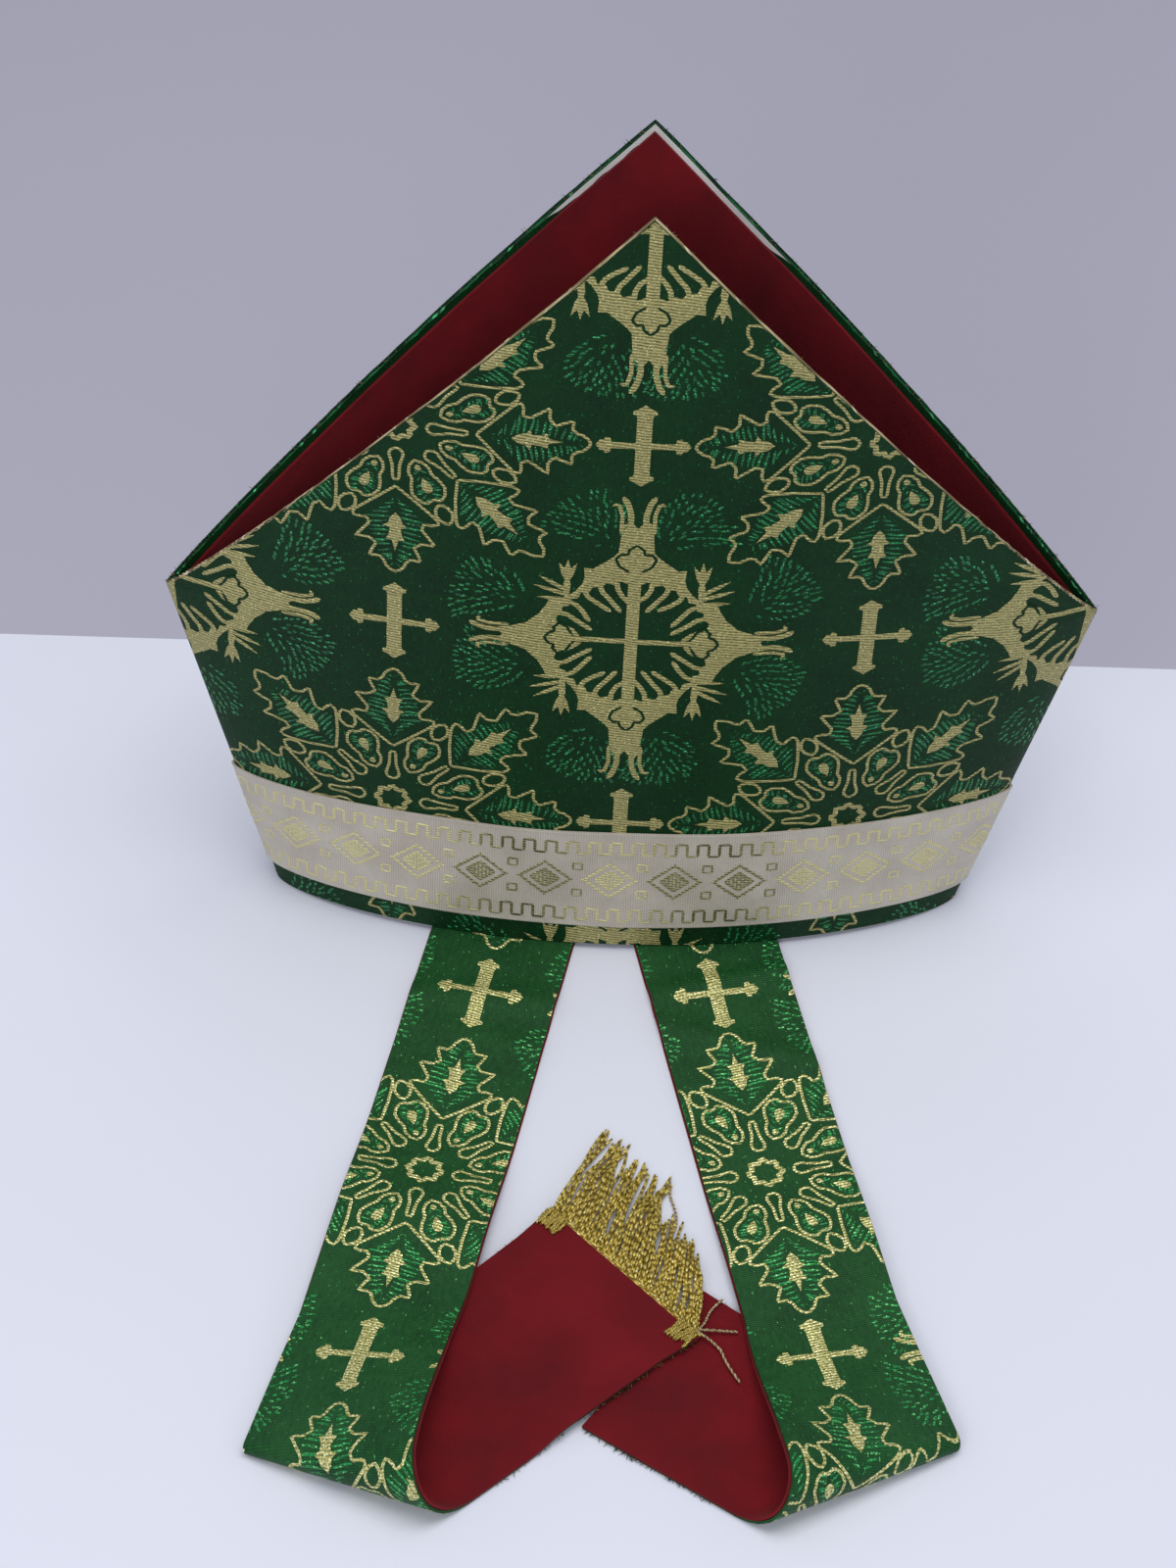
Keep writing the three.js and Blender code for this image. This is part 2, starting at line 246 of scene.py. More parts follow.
def threads(name, strands, materials):
    """One mesh of many tubes: strands holds (points, faces, kind)."""
    points, faces, kinds, flat = [], [], [], []
    count = 0
    for spots, sides, kind in strands:
        points.append(spots)
        faces += [tuple(v + count for v in face) for face in sides]
        kinds += [kind] * len(sides)
        run = np.linspace(0, 1, len(spots))
        flat.append(np.stack([run * 0.05 + 0.013 * (count % 97), run * 0.01], axis=1))
        count += len(spots)
    return add_mesh(name, np.concatenate(points), faces, materials, np.concatenate(flat),
                    kinds=kinds, sharp=75)


# ---- Flat charts: threads and filled shapes in the cloth's own plane, in millimetres
# A patch is (points, lifts, faces, kind, shade): x across and y along the cloth, and how far each point
# stands off it.
GOLD, LUREX, GROUND = 0, 1, 2
RELIEF = 0.16
FIGURE_SHARP = 70
LOW_RELIEF = 0.09


def resample(line, step, closed=False):
    line = np.asarray(line, dtype=float)
    if closed:
        line = np.concatenate([line, line[:1]])
    run = arc_lengths(line)
    count = max(2, int(math.ceil(run[-1] / step)) + 1)
    at = np.linspace(0, run[-1], count)
    even = np.stack([np.interp(at, run, line[:, k]) for k in (0, 1)], axis=1)
    return even[:-1] if closed else even


def thread(line, width, kind=GOLD, lift=RELIEF, closed=False, step=1.7, shade=0.5):
    """A raised ribbon of stitches along a line: two strips that meet at a ridge."""
    line = resample(line, step, closed)
    if closed:
        ahead = unit(np.roll(line, -1, axis=0) - np.roll(line, 1, axis=0))
        taper = np.ones(len(line))
    else:
        ahead = unit(np.gradient(line, axis=0))
        share = np.linspace(0, 1, len(line))
        length = step * len(line)
        taper = np.clip(0.35 + np.minimum(share, 1 - share) * length / (0.7 * width), 0, 1)
    side = np.stack([-ahead[:, 1], ahead[:, 0]], axis=1) * (width / 2 * taper)[:, None]
    points = np.stack([line + side, line, line - side], axis=1).reshape(-1, 2)
    rim = lift - 0.02 if kind == GROUND else 0.02
    lifts = np.tile([rim, lift, rim], len(line))
    start = np.arange(len(line) if closed else len(line) - 1) * 3
    follow = (start + 3) % len(points)
    left = np.stack([start, follow, follow + 1, start + 1], axis=1)
    right = np.stack([start + 1, follow + 1, follow + 2, start + 2], axis=1)
    faces = np.concatenate([left, right])[:, ::-1]
    return points, lifts, faces, kind, np.full(len(points), shade)


def half_widths(table, step):
    table = np.asarray(table, dtype=float)
    count = max(3, int(math.ceil((table[-1, 0] - table[0, 0]) / step)) + 1)
    along = np.unique(np.concatenate([np.linspace(table[0, 0], table[-1, 0], count), table[:, 0]]))
    return along, np.interp(along, table[:, 0], table[:, 1])


def blade(table, lift=RELIEF, columns=5):
    """A filled gold shape along y, from a table of (distance, half width)."""
    along, half = half_widths(table, 2.0)
    share = np.linspace(-1, 1, columns)
    x = share[None, :] * half[:, None]
    y = np.broadcast_to(along[:, None], x.shape)
    edge = np.abs(share[None, :]) > 0.99
    lifts = np.where(edge | (half[:, None] < 0.05), 0.02, lift)
    points = np.stack([x, y], axis=-1).reshape(-1, 2)
    faces = grid_faces(len(along), columns)
    return points, lifts.ravel(), faces, GOLD, np.full(len(points), 0.5)


def outline(table, width):
    """The edge of the same shape, as one closed gold thread."""
    table = np.asarray(table, dtype=float)
    right = table[:, ::-1]
    left = table[::-1, ::-1] * (-1, 1)
    line = np.concatenate([right, left])
    keep = np.linalg.norm(np.diff(line, axis=0, append=line[:1]), axis=1) > 0.05
    return thread(line[keep], width, closed=True, step=1.5)


def turned(patch, degrees):
    points, *rest = patch
    c, s = math.cos(math.radians(degrees)), math.sin(math.radians(degrees))
    return (points @ np.array([[c, s], [-s, c]]), *rest)


def moved(patch, x, y):
    points, *rest = patch
    return (points + (x, y), *rest)


def upside_down(patch):
    points, lifts, faces, kind, shade = patch
    return points * (1, -1), lifts, faces[:, ::-1], kind, shade


def placed(patches, x, y, degrees=0.0):
    return [moved(turned(patch, degrees), x, y) for patch in patches]


# ---- The brocade's figures
OUTLINE = 1.15
AXIAL_KEYHOLE = ((10.5, 0), (11.3, 2), (13, 2.6), (15.5, 2), (18, 1.3), (24.6, 1.1), (24.8, 0))
DIAGONAL_KEYHOLE = ((15, 0), (15.8, 2), (17.5, 2.6), (20, 2), (23, 1.2), (29, 1), (29.2, 0))
LOBE = ((16.5, 0), (18, 2.4), (21, 3.9), (24, 3.7), (27, 5.3), (30.5, 6.2), (34, 5), (36, 2.6), (34.6, 0))
LOBE_DROP = ((24.5, 0), (27, 1.4), (29.5, 2), (31.2, 1.2), (31.6, 0))
LOBE_DOT = ((18.5, 0), (19.3, 1.1), (20.7, 1.1), (21.5, 0))
AXIAL_LEAF = (
    (28, 0.3), (34.6, 7.8), (38.8, 12.4), (41.2, 15), (43.2, 15.6), (44, 13.4), (43.6, 10.4), (46.3, 9.4),
    (49.6, 11.8), (53.2, 14.4), (53, 9.6), (55.3, 6.8), (58.6, 8.4), (61.5, 9.4), (61.1, 5.8), (62.8, 4),
    (65, 3.4), (67.1, 1.4), (67.6, 0))
AXIAL_HEART = (
    (40, 0), (42.5, 2), (45, 2.6), (46.5, 4.6), (47.2, 2), (50.5, 2.4), (52.5, 3.4), (53, 1.2), (58, 0))
LEAF_INSIDE = ((31, 1), (42, 12), (53, 10), (60, 6), (68, 0.5))
DIAGONAL_LEAF = (
    (31, 0.3), (37, 7), (42, 11.6), (45, 14), (47.4, 14.4), (48, 12), (47.4, 9), (50.5, 8.4), (54, 10.4),
    (58, 13), (58, 8.6), (60.5, 6.2), (64, 7.6), (67.4, 8.6), (67.2, 5), (69, 3.6), (72, 2.8), (75, 0))
DIAGONAL_HEART = (
    (40, 0), (43, 2.2), (46, 2.8), (48, 4.8), (48.8, 2), (53, 2.4), (55.4, 3.6), (56, 1.3), (62, 0))
DROP_LOOP = ((-4.5, 0), (-3.4, 2), (0, 3.1), (3.2, 2), (4.5, 0))


FLOAT_WIDTH = 0.9
FLOAT_INSET = 1.6


def lurex_fill(table, seed, gap=2.3):
    """Short bright green floats laid slanting inside a shape."""
    along, half = half_widths(table, gap)
    draw = np.random.default_rng(seed)
    strokes = []
    for y, reach in zip(along[1:-1], half[1:-1]):
        reach -= FLOAT_INSET
        if reach < 0.8:
            continue
        for hand in (-1, 1):
            x0 = hand * draw.uniform(0.15, 0.35) * reach
            x1 = hand * reach
            rise = draw.uniform(0.5, 1.8)
            line = ((x0, y), ((x0 + x1) / 2, y + rise * 0.7), (x1, y + rise))
            strokes.append(thread(line, FLOAT_WIDTH, LUREX, LOW_RELIEF, step=2.5, shade=draw.uniform(0, 1)))
    return strokes


def rosette():
    angle = np.radians(np.arange(0, 360, 7.5))
    ring = 5.7 + 0.95 * np.cos(8 * angle)
    figure = [thread(np.stack([ring * np.cos(angle), ring * np.sin(angle)], axis=1), 2.1, closed=True)]
    leaves = ((AXIAL_KEYHOLE, AXIAL_LEAF, AXIAL_HEART, 100, 0),
              (DIAGONAL_KEYHOLE, DIAGONAL_LEAF, DIAGONAL_HEART, 200, 45))
    for axis in range(0, 360, 90):
        for keyhole, leaf, heart, seed, lean in leaves:
            whole = [outline(keyhole, OUTLINE), outline(leaf, OUTLINE), blade(heart),
                     *lurex_fill(LEAF_INSIDE, seed + axis)]
            figure += placed(whole, 0, 0, axis + lean)
        for lean in (-22.5, 22.5):
            lobe = [outline(LOBE, OUTLINE), blade(LOBE_DROP), blade(LOBE_DOT),
                    *lurex_fill(LOBE, 300 + axis, gap=3)]
            figure += placed(lobe, 0, 0, axis + lean)
            figure.append(turned(moved(outline(DROP_LOOP, 1.2), 0, 42), axis + lean * 1.09))
    return figure


# The medallion's gold body: its outer radius at angles from the right-hand axis to the top.
BODY = (
    (0, 46.5), (2.4, 48.2), (4, 48.6), (5.4, 44.2), (9.7, 38.6), (18.2, 35.4), (26, 34.8), (31, 35.2),
    (35, 32.2), (41, 31), (48, 31), (55, 32.4), (59, 34.6), (62, 38.8), (66, 37.2), (74, 39.2),
    (79, 41.2), (81.5, 43), (83, 48.4), (84.2, 55), (87, 57.5), (90, 53.5))
BODY_HOLE = 28.5


def medallion_body():
    table = np.asarray(BODY, dtype=float)
    quarter = np.unique(np.concatenate([np.linspace(0, 90, 46), table[:, 0]]))
    reach = np.interp(quarter, table[:, 0], table[:, 1])
    half_turn = np.concatenate([quarter, 180 - quarter[-2::-1]])
    half_reach = np.concatenate([reach, reach[-2::-1]])
    angle = np.radians(np.concatenate([half_turn, 360 - half_turn[-2:0:-1]]))
    radius = np.concatenate([half_reach, half_reach[-2:0:-1]])
    wave = BODY_HOLE + 0.7 * np.cos(36 * angle)
    share = np.linspace(0, 1, 5)
    r = mix(wave[None, :], radius[None, :], share[:, None])
    points = np.stack([r * np.cos(angle), r * np.sin(angle)], axis=-1).reshape(-1, 2)
    rim = (share < 0.01) | (share > 0.99)
    lifts = np.repeat(np.where(rim, 0.02, RELIEF), len(angle))
    count = len(angle)
    faces = []
    for ring in range(len(share) - 1):
        for k in range(count):
            a, b = ring * count + k, ring * count + (k + 1) % count
            faces.append((a, a + count, b + count, b))
    return points, lifts, np.array(faces), GOLD, np.full(len(points), 0.5)


def medallion_fingers():
    fingers = []
    for quarter in range(0, 360, 90):
        for k, tip in enumerate((18, 14.5, 16, 17.5, 15, 19)):
            angle = math.radians(quarter + 13.5 + 12.6 * k)
            bend = math.radians(-7 if k < 3 else 7)
            line = [
                (r * math.cos(angle + bend * turn), r * math.sin(angle + bend * turn))
                for r, turn in ((29.5, 0.2), (26, 0), (22, 0.35), (tip + 1.5, 1.0), (tip, 1.25))]
            fingers.append(thread(line, 1.9, step=1.4))
    return fingers


def fork(length, spread, tip):
    """The split end of one of the medallion's points, along y: two thin horns on each side."""
    horns = []
    for hand in (-1, 1):
        for root, bow, end, drop in ((0.62, 0.6, 1.0, 4.0), (0.3, 0.28, 0.62, 0)):
            line = (
                (hand * spread * root, length - 4), (hand * spread * bow, mix(length, tip, 0.35)),
                (hand * spread * mix(bow, end, 0.4), mix(length, tip, 0.75)),
                (hand * spread * end, tip - drop))
            horns.append(thread(line, 1.5 if drop else 2.2, step=1.5))
    return horns


def trefoil(size, tall):
    """A budded cross end along y: a gold bud inside a thin dark line."""
    half = size / 2
    bud = ((0, 0.3), (0.22, 0.8), (0.5, 1), (0.62, 0.72), (0.68, 0.5), (0.84, 0.42), (1, 0))
    bud = np.array(bud) * (tall, half)
    edge = np.array((
        (-0.3, 0), (-0.8, 0.2), (-1, 0.5), (-0.74, 0.68), (-0.42, 0.66), (-0.36, 0.86), (0, 1.04)))
    edge = np.concatenate([edge, edge[-2::-1] * (-1, 1)]) * (half, tall)
    return [blade(bud), thread(edge, 1.05, GROUND, RELIEF + 0.05, step=1.0)]


def spray(hand):
    """A bud along y on a short stem, with three thin leaflets out to one side."""
    parts = [blade(((-3, 0.8), (4, 1.3), (6, 0.9), (9, 2.3), (11.5, 2.2), (12, 1), (16, 0)), columns=4)]
    for lean in (-24, 24):
        parts.append(moved(turned(blade(((0, 0.4), (4, 1), (8, 0)), columns=3), lean), 0, 7))
    for lean, reach, rise in ((58, 12, 1), (72, 12.5, -1), (88, 10.5, -3.2)):
        leaflet = turned(blade(((0, 0.9), (reach * 0.6, 0.85), (reach, 0.1)), columns=3), -hand * lean)
        parts.append(moved(leaflet, 0, rise))
    return parts


def plume(seed, reach=27, spread=46, pitch=2.35):
    """A feather of short bright green floats in curling rows that fan out from one point."""
    draw = np.random.default_rng(seed)
    curl = math.radians(draw.uniform(14, 26)) * (1 if seed % 2 else -1)
    strokes = []
    for r in np.arange(5.0, reach, pitch):
        wide = math.radians(spread) * (1 - 0.35 * (r / reach) ** 2)
        count = max(2, int(2 * wide * r / pitch))
        for lean in np.linspace(-wide, wide, count):
            if draw.random() < 0.1:
                continue
            middle = math.pi / 2 - lean - curl * (r / reach) ** 2 + draw.uniform(-0.03, 0.03)
            lead = middle - 0.35 * curl
            start = np.array((math.cos(middle), math.sin(middle))) * (r + draw.uniform(-0.4, 0.4))
            way = np.array((math.cos(lead - 0.5 * lean), math.sin(lead - 0.5 * lean)))
            line = np.stack([start, start + way * draw.uniform(1.7, 2.9)])
            strokes.append(thread(line, 1.2, LUREX, LOW_RELIEF, step=1.4, shade=draw.uniform(0, 1)))
    return strokes


# Where the plumes start round the medallion, and the way they lean from straight up.
PLUMES = (
    (-8, 44, 24), (9, 44, -32), (-38, 16, 62), (-36, -13, 104), (40, 15, -64), (36, -13, -104),
    (-10, -42, 156), (9, -42, -156),
)
SPRAYS = ((-24, 22, 1, -1), (24, 22, 1, 1), (-24, -22, -1, -1), (24, -22, -1, 1))


def medallion():
    figure = [medallion_body(), *medallion_fingers()]
    for end in (0, 90, 180, 270):
        upright = end % 180 == 0
        figure += placed(fork(*((55, 9.5, 68) if upright else (48, 8, 58.5))), 0, 0, end)
    for k, (x, y, lean) in enumerate(PLUMES):
        figure += placed(plume(400 + k), x, y, lean)
    for x, y, upward, hand in SPRAYS:
        whole = spray(hand)
        if upward < 0:
            whole = [upside_down(patch) for patch in whole]
        figure += placed(whole, x, y)
    bar = RELIEF + 0.02
    figure.append(blade(((-34, 2.3), (37, 2.3)), lift=bar, columns=4))
    figure.append(turned(blade(((-24, 1.15), (25, 1.15)), lift=bar + 0.01, columns=3), 90))
    for size, tall, x, y, lean in (
            (14.5, 12, 0, 33.5, 0), (13, 11, 0, -31.5, 180),
            (14.5, 9.5, 21.5, 0, -90), (14.5, 9.5, -21.5, 0, 90)):
        figure += placed(trefoil(size, tall), x, y, lean)
    return figure


def small_cross():
    bud = ((0, 1.2), (1.2, 1.3), (1.5, 3.1), (3.2, 3.6), (3.8, 2.3), (5, 2.4), (6.6, 0))
    head = ((0, 2.7), (1.4, 3), (1.7, 4.2), (3.2, 4.2), (4, 2.6), (6, 0))
    upright = [blade(((-14, 2.7), (14, 2.7)), columns=4)]
    upright += placed([blade(head)], 0, 12.3) + placed([blade(head)], 0, -12.3, 180)
    arms = [turned(blade(((-11, 1.35), (11, 1.35)), columns=3), 90)]
    arms += placed([blade(bud)], 10, 0, -90) + placed([blade(bud)], -10, 0, 90)
    return upright + arms


REPEAT_WIDTH = 171.5
REPEAT_HEIGHT = 182.4


def brocade_figures(origin, turn, columns, rows, height=REPEAT_HEIGHT):
    """The whole repeat: medallions on the lattice, rosettes between them, small crosses between both."""
    flower, star, cross = medallion(), rosette(), small_cross()
    figures = []
    for i in columns:
        for j in rows:
            for patches, di, dj in ((flower, 0, 0), (star, 0.5, 0.5), (cross, 0.5, 0), (cross, 0, 0.5)):
                figures += placed(patches, (i + di) * REPEAT_WIDTH, (j + dj) * height)
    return placed(figures, *origin, turn)


def gathered(patches, inside):
    """All the patches that reach inside the cloth, joined: points, lifts, faces, kinds and shades."""
    points, lifts, faces, kinds, shades = [], [], [], [], []
    count = 0
    for spots, heights, quads, kind, shade in patches:
        held = inside(spots)
        keep = quads[held[quads].any(axis=1)]
        if not len(keep):
            continue
        used, renumbered = np.unique(keep, return_inverse=True)
        points.append(spots[used])
        lifts.append(heights[used])
        shades.append(shade[used])
        faces.append(renumbered.reshape(keep.shape) + count)
        kinds += [kind] * len(keep)
        count += len(used)
    return (np.concatenate(points), np.concatenate(lifts), np.concatenate(faces), kinds,
            np.concatenate(shades))


def without_slivers(points, faces, kinds):
    """Drops the faces that the cloth's cut edge has flattened to nothing."""
    a, b, c, d = (points[faces[:, k]] for k in range(4))
    area = np.linalg.norm(np.cross(c - a, d - b), axis=1) / 2
    keep = area > 2e-9
    return faces[keep], np.asarray(kinds)[keep]


# ---- The cap's surfaces
def cut_height(across):
    return mix(PEAK_HEIGHT, CORNER_HEIGHT, np.abs(across))


def half_depth(height):
    upper = (height - CORNER_HEIGHT) / (PEAK_HEIGHT - CORNER_HEIGHT)
    return np.where(height < CORNER_HEIGHT, mix(HALF_DEPTH[0], HALF_DEPTH[1], height / CORNER_HEIGHT),
                    mix(HALF_DEPTH[1], HALF_DEPTH[2], upper))


def softness(x, height, far):
    """Small hollows and swells of the stiffened cloth, none at the seams or the hem."""
    phase = 1.7 if far else 0.0
    swell = 0.45 * np.sin(31 * x + 9 * height + phase) + 0.3 * np.sin(57 * x - 43 * height + 2 * phase)
    swell = swell + 0.22 * np.sin(88 * x + 71 * height + 0.6)
    return swell * MM


def panel_surface(far, across, height, face=0.0, side=0.0):
    lower = np.clip(height / CORNER_HEIGHT, 0, 1)
    round_off = np.clip(1 - across * across, 0, 1)
    bulge = round_off ** mix(FULLNESS[0], FULLNESS[1], lower)
    x = across * (mix(BASE_HALF_WIDTH, CORNER_HALF_WIDTH, lower) - side)
    depth = (half_depth(height) - face) * bulge + GAP / 2
    depth = depth + softness(x, height, far) * round_off * smooth(0, 0.03, height)
    lift = 0 if far else HEM_LIFT * (1 - np.abs(across) ** 6) * (1 - lower)
    y = (depth if far else -depth) + PEAK_LEAN * height / PEAK_HEIGHT - HEM_MIDDLE
    return np.stack(np.broadcast_arrays(x, y, height + lift), axis=-1)


CHART_STEPS = 180
CHART_ROWS = 70


class PanelChart:
    """Turns places in a panel's flat cloth, arc length from its middle and height, into its surface."""

    def __init__(self, far, face=0.0, side=0.0, top=None):
        self.far, self.face, self.side, self.top = far, face, side, top
        self.flip = far
        shares = np.sin(np.radians(np.linspace(0, 90, CHART_STEPS + 1)))
        self.heights = np.linspace(0, PEAK_HEIGHT, CHART_ROWS)
        grid = self.skin(shares[None, :], self.heights[:, None])
        arc = arc_lengths(grid)
        self.full = arc[:, -1]
        even = np.linspace(0, 1, CHART_STEPS + 1)
        self.shares = np.array([np.interp(even * row[-1], row, shares) for row in arc])

    def skin(self, across, height):
        return panel_surface(self.far, across, height, self.face, self.side)

    def width_at(self, height):
        return np.interp(height, self.heights, self.full)

    def across(self, s, height):
        row = np.clip(height / PEAK_HEIGHT, 0, 0.99999) * (len(self.heights) - 1)
        r = row.astype(int)
        column = np.clip(np.abs(s) / self.width_at(height), 0, 0.99999) * CHART_STEPS
        c = column.astype(int)
        f, g = row - r, column - c
        low = mix(self.shares[r, c], self.shares[r, c + 1], g)
        high = mix(self.shares[r + 1, c], self.shares[r + 1, c + 1], g)
        return np.sign(s) * mix(low, high, f)

    def inside(self, flat):
        s, height = flat[:, 0] * MM, flat[:, 1] * MM
        top = cut_height(self.across(s, height)) if self.top is None else self.top
        return (np.abs(s) < self.width_at(height)) & (height < top) & (height > 0)

    def trimmed(self, flat):
        return flat

    def surface(self, flat, lift):
        s, height = flat[:, 0] * MM, np.clip(flat[:, 1] * MM, 0.2 * MM, PEAK_HEIGHT)
        across = np.clip(self.across(s, height), -0.998, 0.998)
        if self.top is None:
            height = np.minimum(height, cut_height(across) - 0.3 * MM)
            across = np.clip(self.across(s, height), -0.998, 0.998)
        step = 2e-4
        sideways = self.skin(across + step, height) - self.skin(across - step, height)
        upward = self.skin(across, height + step) - self.skin(across, height - step)
        normal = unit(np.cross(sideways, upward)) * (-1 if self.far else 1)
        return self.skin(across, height) + normal * (lift * MM)[:, None]


def across_steps(count):
    return np.sin(np.radians(np.linspace(-90, 90, count + 1)))


def cap_grid(far, bottom, top_inset, columns, rows, insets, level_top=None):
    """Grids of the outer and inner skin and of their flat places, rows from bottom to top."""
    across = across_steps(columns)[None, :]
    share = np.linspace(0, 1, rows + 1)[:, None]
    top = cut_height(across) - top_inset if level_top is None else level_top
    if level_top is None:
        waist = np.minimum(CORNER_HEIGHT, top)
        lower = mix(bottom, waist, np.clip(share / 0.42, 0, 1))
        height = np.where(share < 0.42, lower, mix(waist, top, (share - 0.42) / 0.58))
    else:
        height = mix(bottom, top, share) + 0 * across
    across = np.broadcast_to(across, height.shape)
    skins = [panel_surface(far, across, height, *inset) for inset in insets]
    arc = arc_lengths(skins[0])
    arc = arc - arc[:, [columns // 2]]
    return skins[0], skins[1], np.stack([arc, height], axis=-1)


# ---- Materials
# A wave texture of this scale has one band in a metre.
WAVE_SCALE = 0.31416


class Shader:
    """A material with short calls for its nodes."""

    def __init__(self, name):
        self.material = bpy.data.materials.new(name)
        self.material.use_nodes = True
        self.nodes = self.material.node_tree.nodes
        self.links = self.material.node_tree.links
        self.surface = self.nodes["Principled BSDF"]
        self.cloth = self.add("ShaderNodeUVMap").outputs["UV"]
        self.nodes["UV Map"].uv_map = "cloth"

    def add(self, kind, settings=(), **inputs):
        node = self.nodes.new(kind)
        for name, value in dict(settings).items():
            setattr(node, name, value)
        for name, value in inputs.items():
            self.feed(node.inputs[name.replace("_", " ")], value)
        return node

    def feed(self, socket, value):
        if isinstance(value, bpy.types.NodeSocket):
            self.links.new(value, socket)
        else:
            socket.default_value = value

    def noise(self, scale, detail=3.0, stretch=(1, 1, 1), roughness=0.6):
        place = self.add("ShaderNodeMapping", Vector=self.cloth, Scale=stretch).outputs["Vector"]
        return self.add("ShaderNodeTexNoise", Vector=place, Scale=scale, Detail=detail,
                        Roughness=roughness).outputs["Fac"]

    def bands(self, period, direction, distortion=0.0):
        return self.add("ShaderNodeTexWave", {"bands_direction": direction}, Vector=self.cloth,
                        Scale=WAVE_SCALE / period, Distortion=distortion).outputs["Fac"]

    def between(self, value, low, high):
        return self.add("ShaderNodeMapRange", Value=value, From_Min=low, From_Max=high).outputs["Result"]

    def sum(self, first, second, weight):
        """first, plus weight times second."""
        node = self.add("ShaderNodeMath", {"operation": "MULTIPLY_ADD"})
        for socket, value in zip(node.inputs, (second, weight, first)):
            self.feed(socket, value)
        return node.outputs[0]

    def blend(self, factor, first, second):
        node = self.add("ShaderNodeMix", {"data_type": "RGBA"})
        factor_in, first_in, second_in, colour_out = 0, 6, 7, 2
        for index, value in ((factor_in, factor), (first_in, first), (second_in, second)):
            self.feed(node.inputs[index], value)
        return node.outputs[colour_out]

    def shade(self):
        return self.add("ShaderNodeAttribute", {"attribute_name": "shade"}).outputs["Fac"]

    def finish(self, base, roughness, bump, depth, strength=1.0, **fixed):
        self.feed(self.surface.inputs["Base Color"], base)
        self.feed(self.surface.inputs["Roughness"], roughness)
        node = self.add("ShaderNodeBump", Strength=strength, Distance=depth, Height=bump)
        self.links.new(node.outputs["Normal"], self.surface.inputs["Normal"])
        for name, value in fixed.items():
            self.feed(self.surface.inputs[name.replace("_", " ")], value)
        return self.material


def satin(name, dark, light, glint, sparkle, roughness):
    """The brocade's ground: fine warp ribs, a soft shift of tone, and a few bright metal floats whose glint
    is painted into the colour.
    """
    s = Shader(name)
    ribs = s.bands(0.9 * MM, "Y", 0.8)
    drift = s.noise(30, 4)
    grain = s.noise(700, 2, (1, 0.35, 1))
    tone = s.between(s.sum(s.sum(drift, grain, 0.9), ribs, 0.3), 0.75, 1.5)
    base = s.blend(tone, dark, light)
    # Painted glints: where the fine noise is high, the colour turns to the bright glint colour and the
    # roughness drops.
    painted_glints = s.between(s.noise(1100, 1, (1, 0.45, 1)), *sparkle)
    base = s.blend(painted_glints, base, glint)
    bump = s.sum(s.sum(ribs, grain, 0.9), painted_glints, 0.5)
    rough = s.add("ShaderNodeMapRange", Value=painted_glints, To_Min=roughness, To_Max=0.3).outputs["Result"]
    return s.finish(base, rough, bump, 0.14 * MM, 0.8, Metallic=0.0, Specular_IOR_Level=0.15)


def metal_thread(name, dark, light, glint, metallic, roughness, sparkle=(0.6, 0.7), by_shade=0.55):
    """Metal-wrapped stitches: short crosswise floats, dark gaps between them, a tone raised by the shade
    attribute, and bright specks of painted glint.
    """
    s = Shader(name)
    slant = s.add("ShaderNodeMapping", Vector=s.cloth, Rotation=(0, 0, 0.12)).outputs["Vector"]
    ridges = s.add("ShaderNodeTexWave", {"bands_direction": "Y"}, Vector=slant,
                   Scale=WAVE_SCALE / (1.25 * MM), Distortion=2.2, Detail=1.0).outputs["Fac"]
    grain = s.noise(800, 2, (0.6, 1, 1))
    low, high = 0.75, 1.45 + by_shade * 0.8
    # The shade attribute brightens the thread: a painted reflection along the galloon (shine_at), random
    # tone on the lurex floats, one even value elsewhere.
    tone = s.between(s.sum(s.sum(ridges, grain, 1.3), s.shade(), by_shade), low, high)
    base = s.blend(tone, dark, light)
    # Painted glints: bright specks of the glint colour.
    painted_glints = s.between(s.noise(1200, 1), *sparkle)
    base = s.blend(painted_glints, base, glint)
    return s.finish(base, roughness, s.sum(ridges, grain, 1.2), 0.25 * MM, 0.9, Metallic=metallic)


def plain_weave(name, dark, light, roughness, sheen):
    """A matt lining cloth with a fine over-and-under weave and faint creases."""
    s = Shader(name)
    across = s.bands(0.7 * MM, "X", 0.5)
    along = s.bands(0.7 * MM, "Y", 0.5)
    drift = s.noise(24, 5)
    grain = s.noise(1400, 2)
    tone = s.between(s.sum(s.sum(drift, across, 0.12), s.sum(along, grain, 1.0), 0.15), 0.4, 0.95)
    base = s.blend(tone, dark, light)
    bump = s.sum(s.sum(across, along, 1.0), drift, 2.0)
    return s.finish(base, roughness, bump, 0.1 * MM, 0.5, Sheen_Weight=sheen, Sheen_Roughness=0.5,
                    Specular_IOR_Level=0.2)


def ribbed_ribbon(name, dark, light):
    """The galloon's ground: close upright ribs with a silky shine."""
    s = Shader(name)
    ribs = s.bands(0.9 * MM, "X", 0.25)
    picks = s.bands(0.6 * MM, "Y", 0.3)
    drift = s.noise(45, 4)
    tone = s.between(s.sum(s.sum(drift, ribs, 0.3), picks, 0.12), 0.45, 1.0)
    base = s.blend(tone, dark, light)
    return s.finish(base, 0.45, s.sum(ribs, picks, 0.5), 0.14 * MM, 0.6, Metallic=0.1,
                    Sheen_Weight=0.1, Sheen_Roughness=0.35)


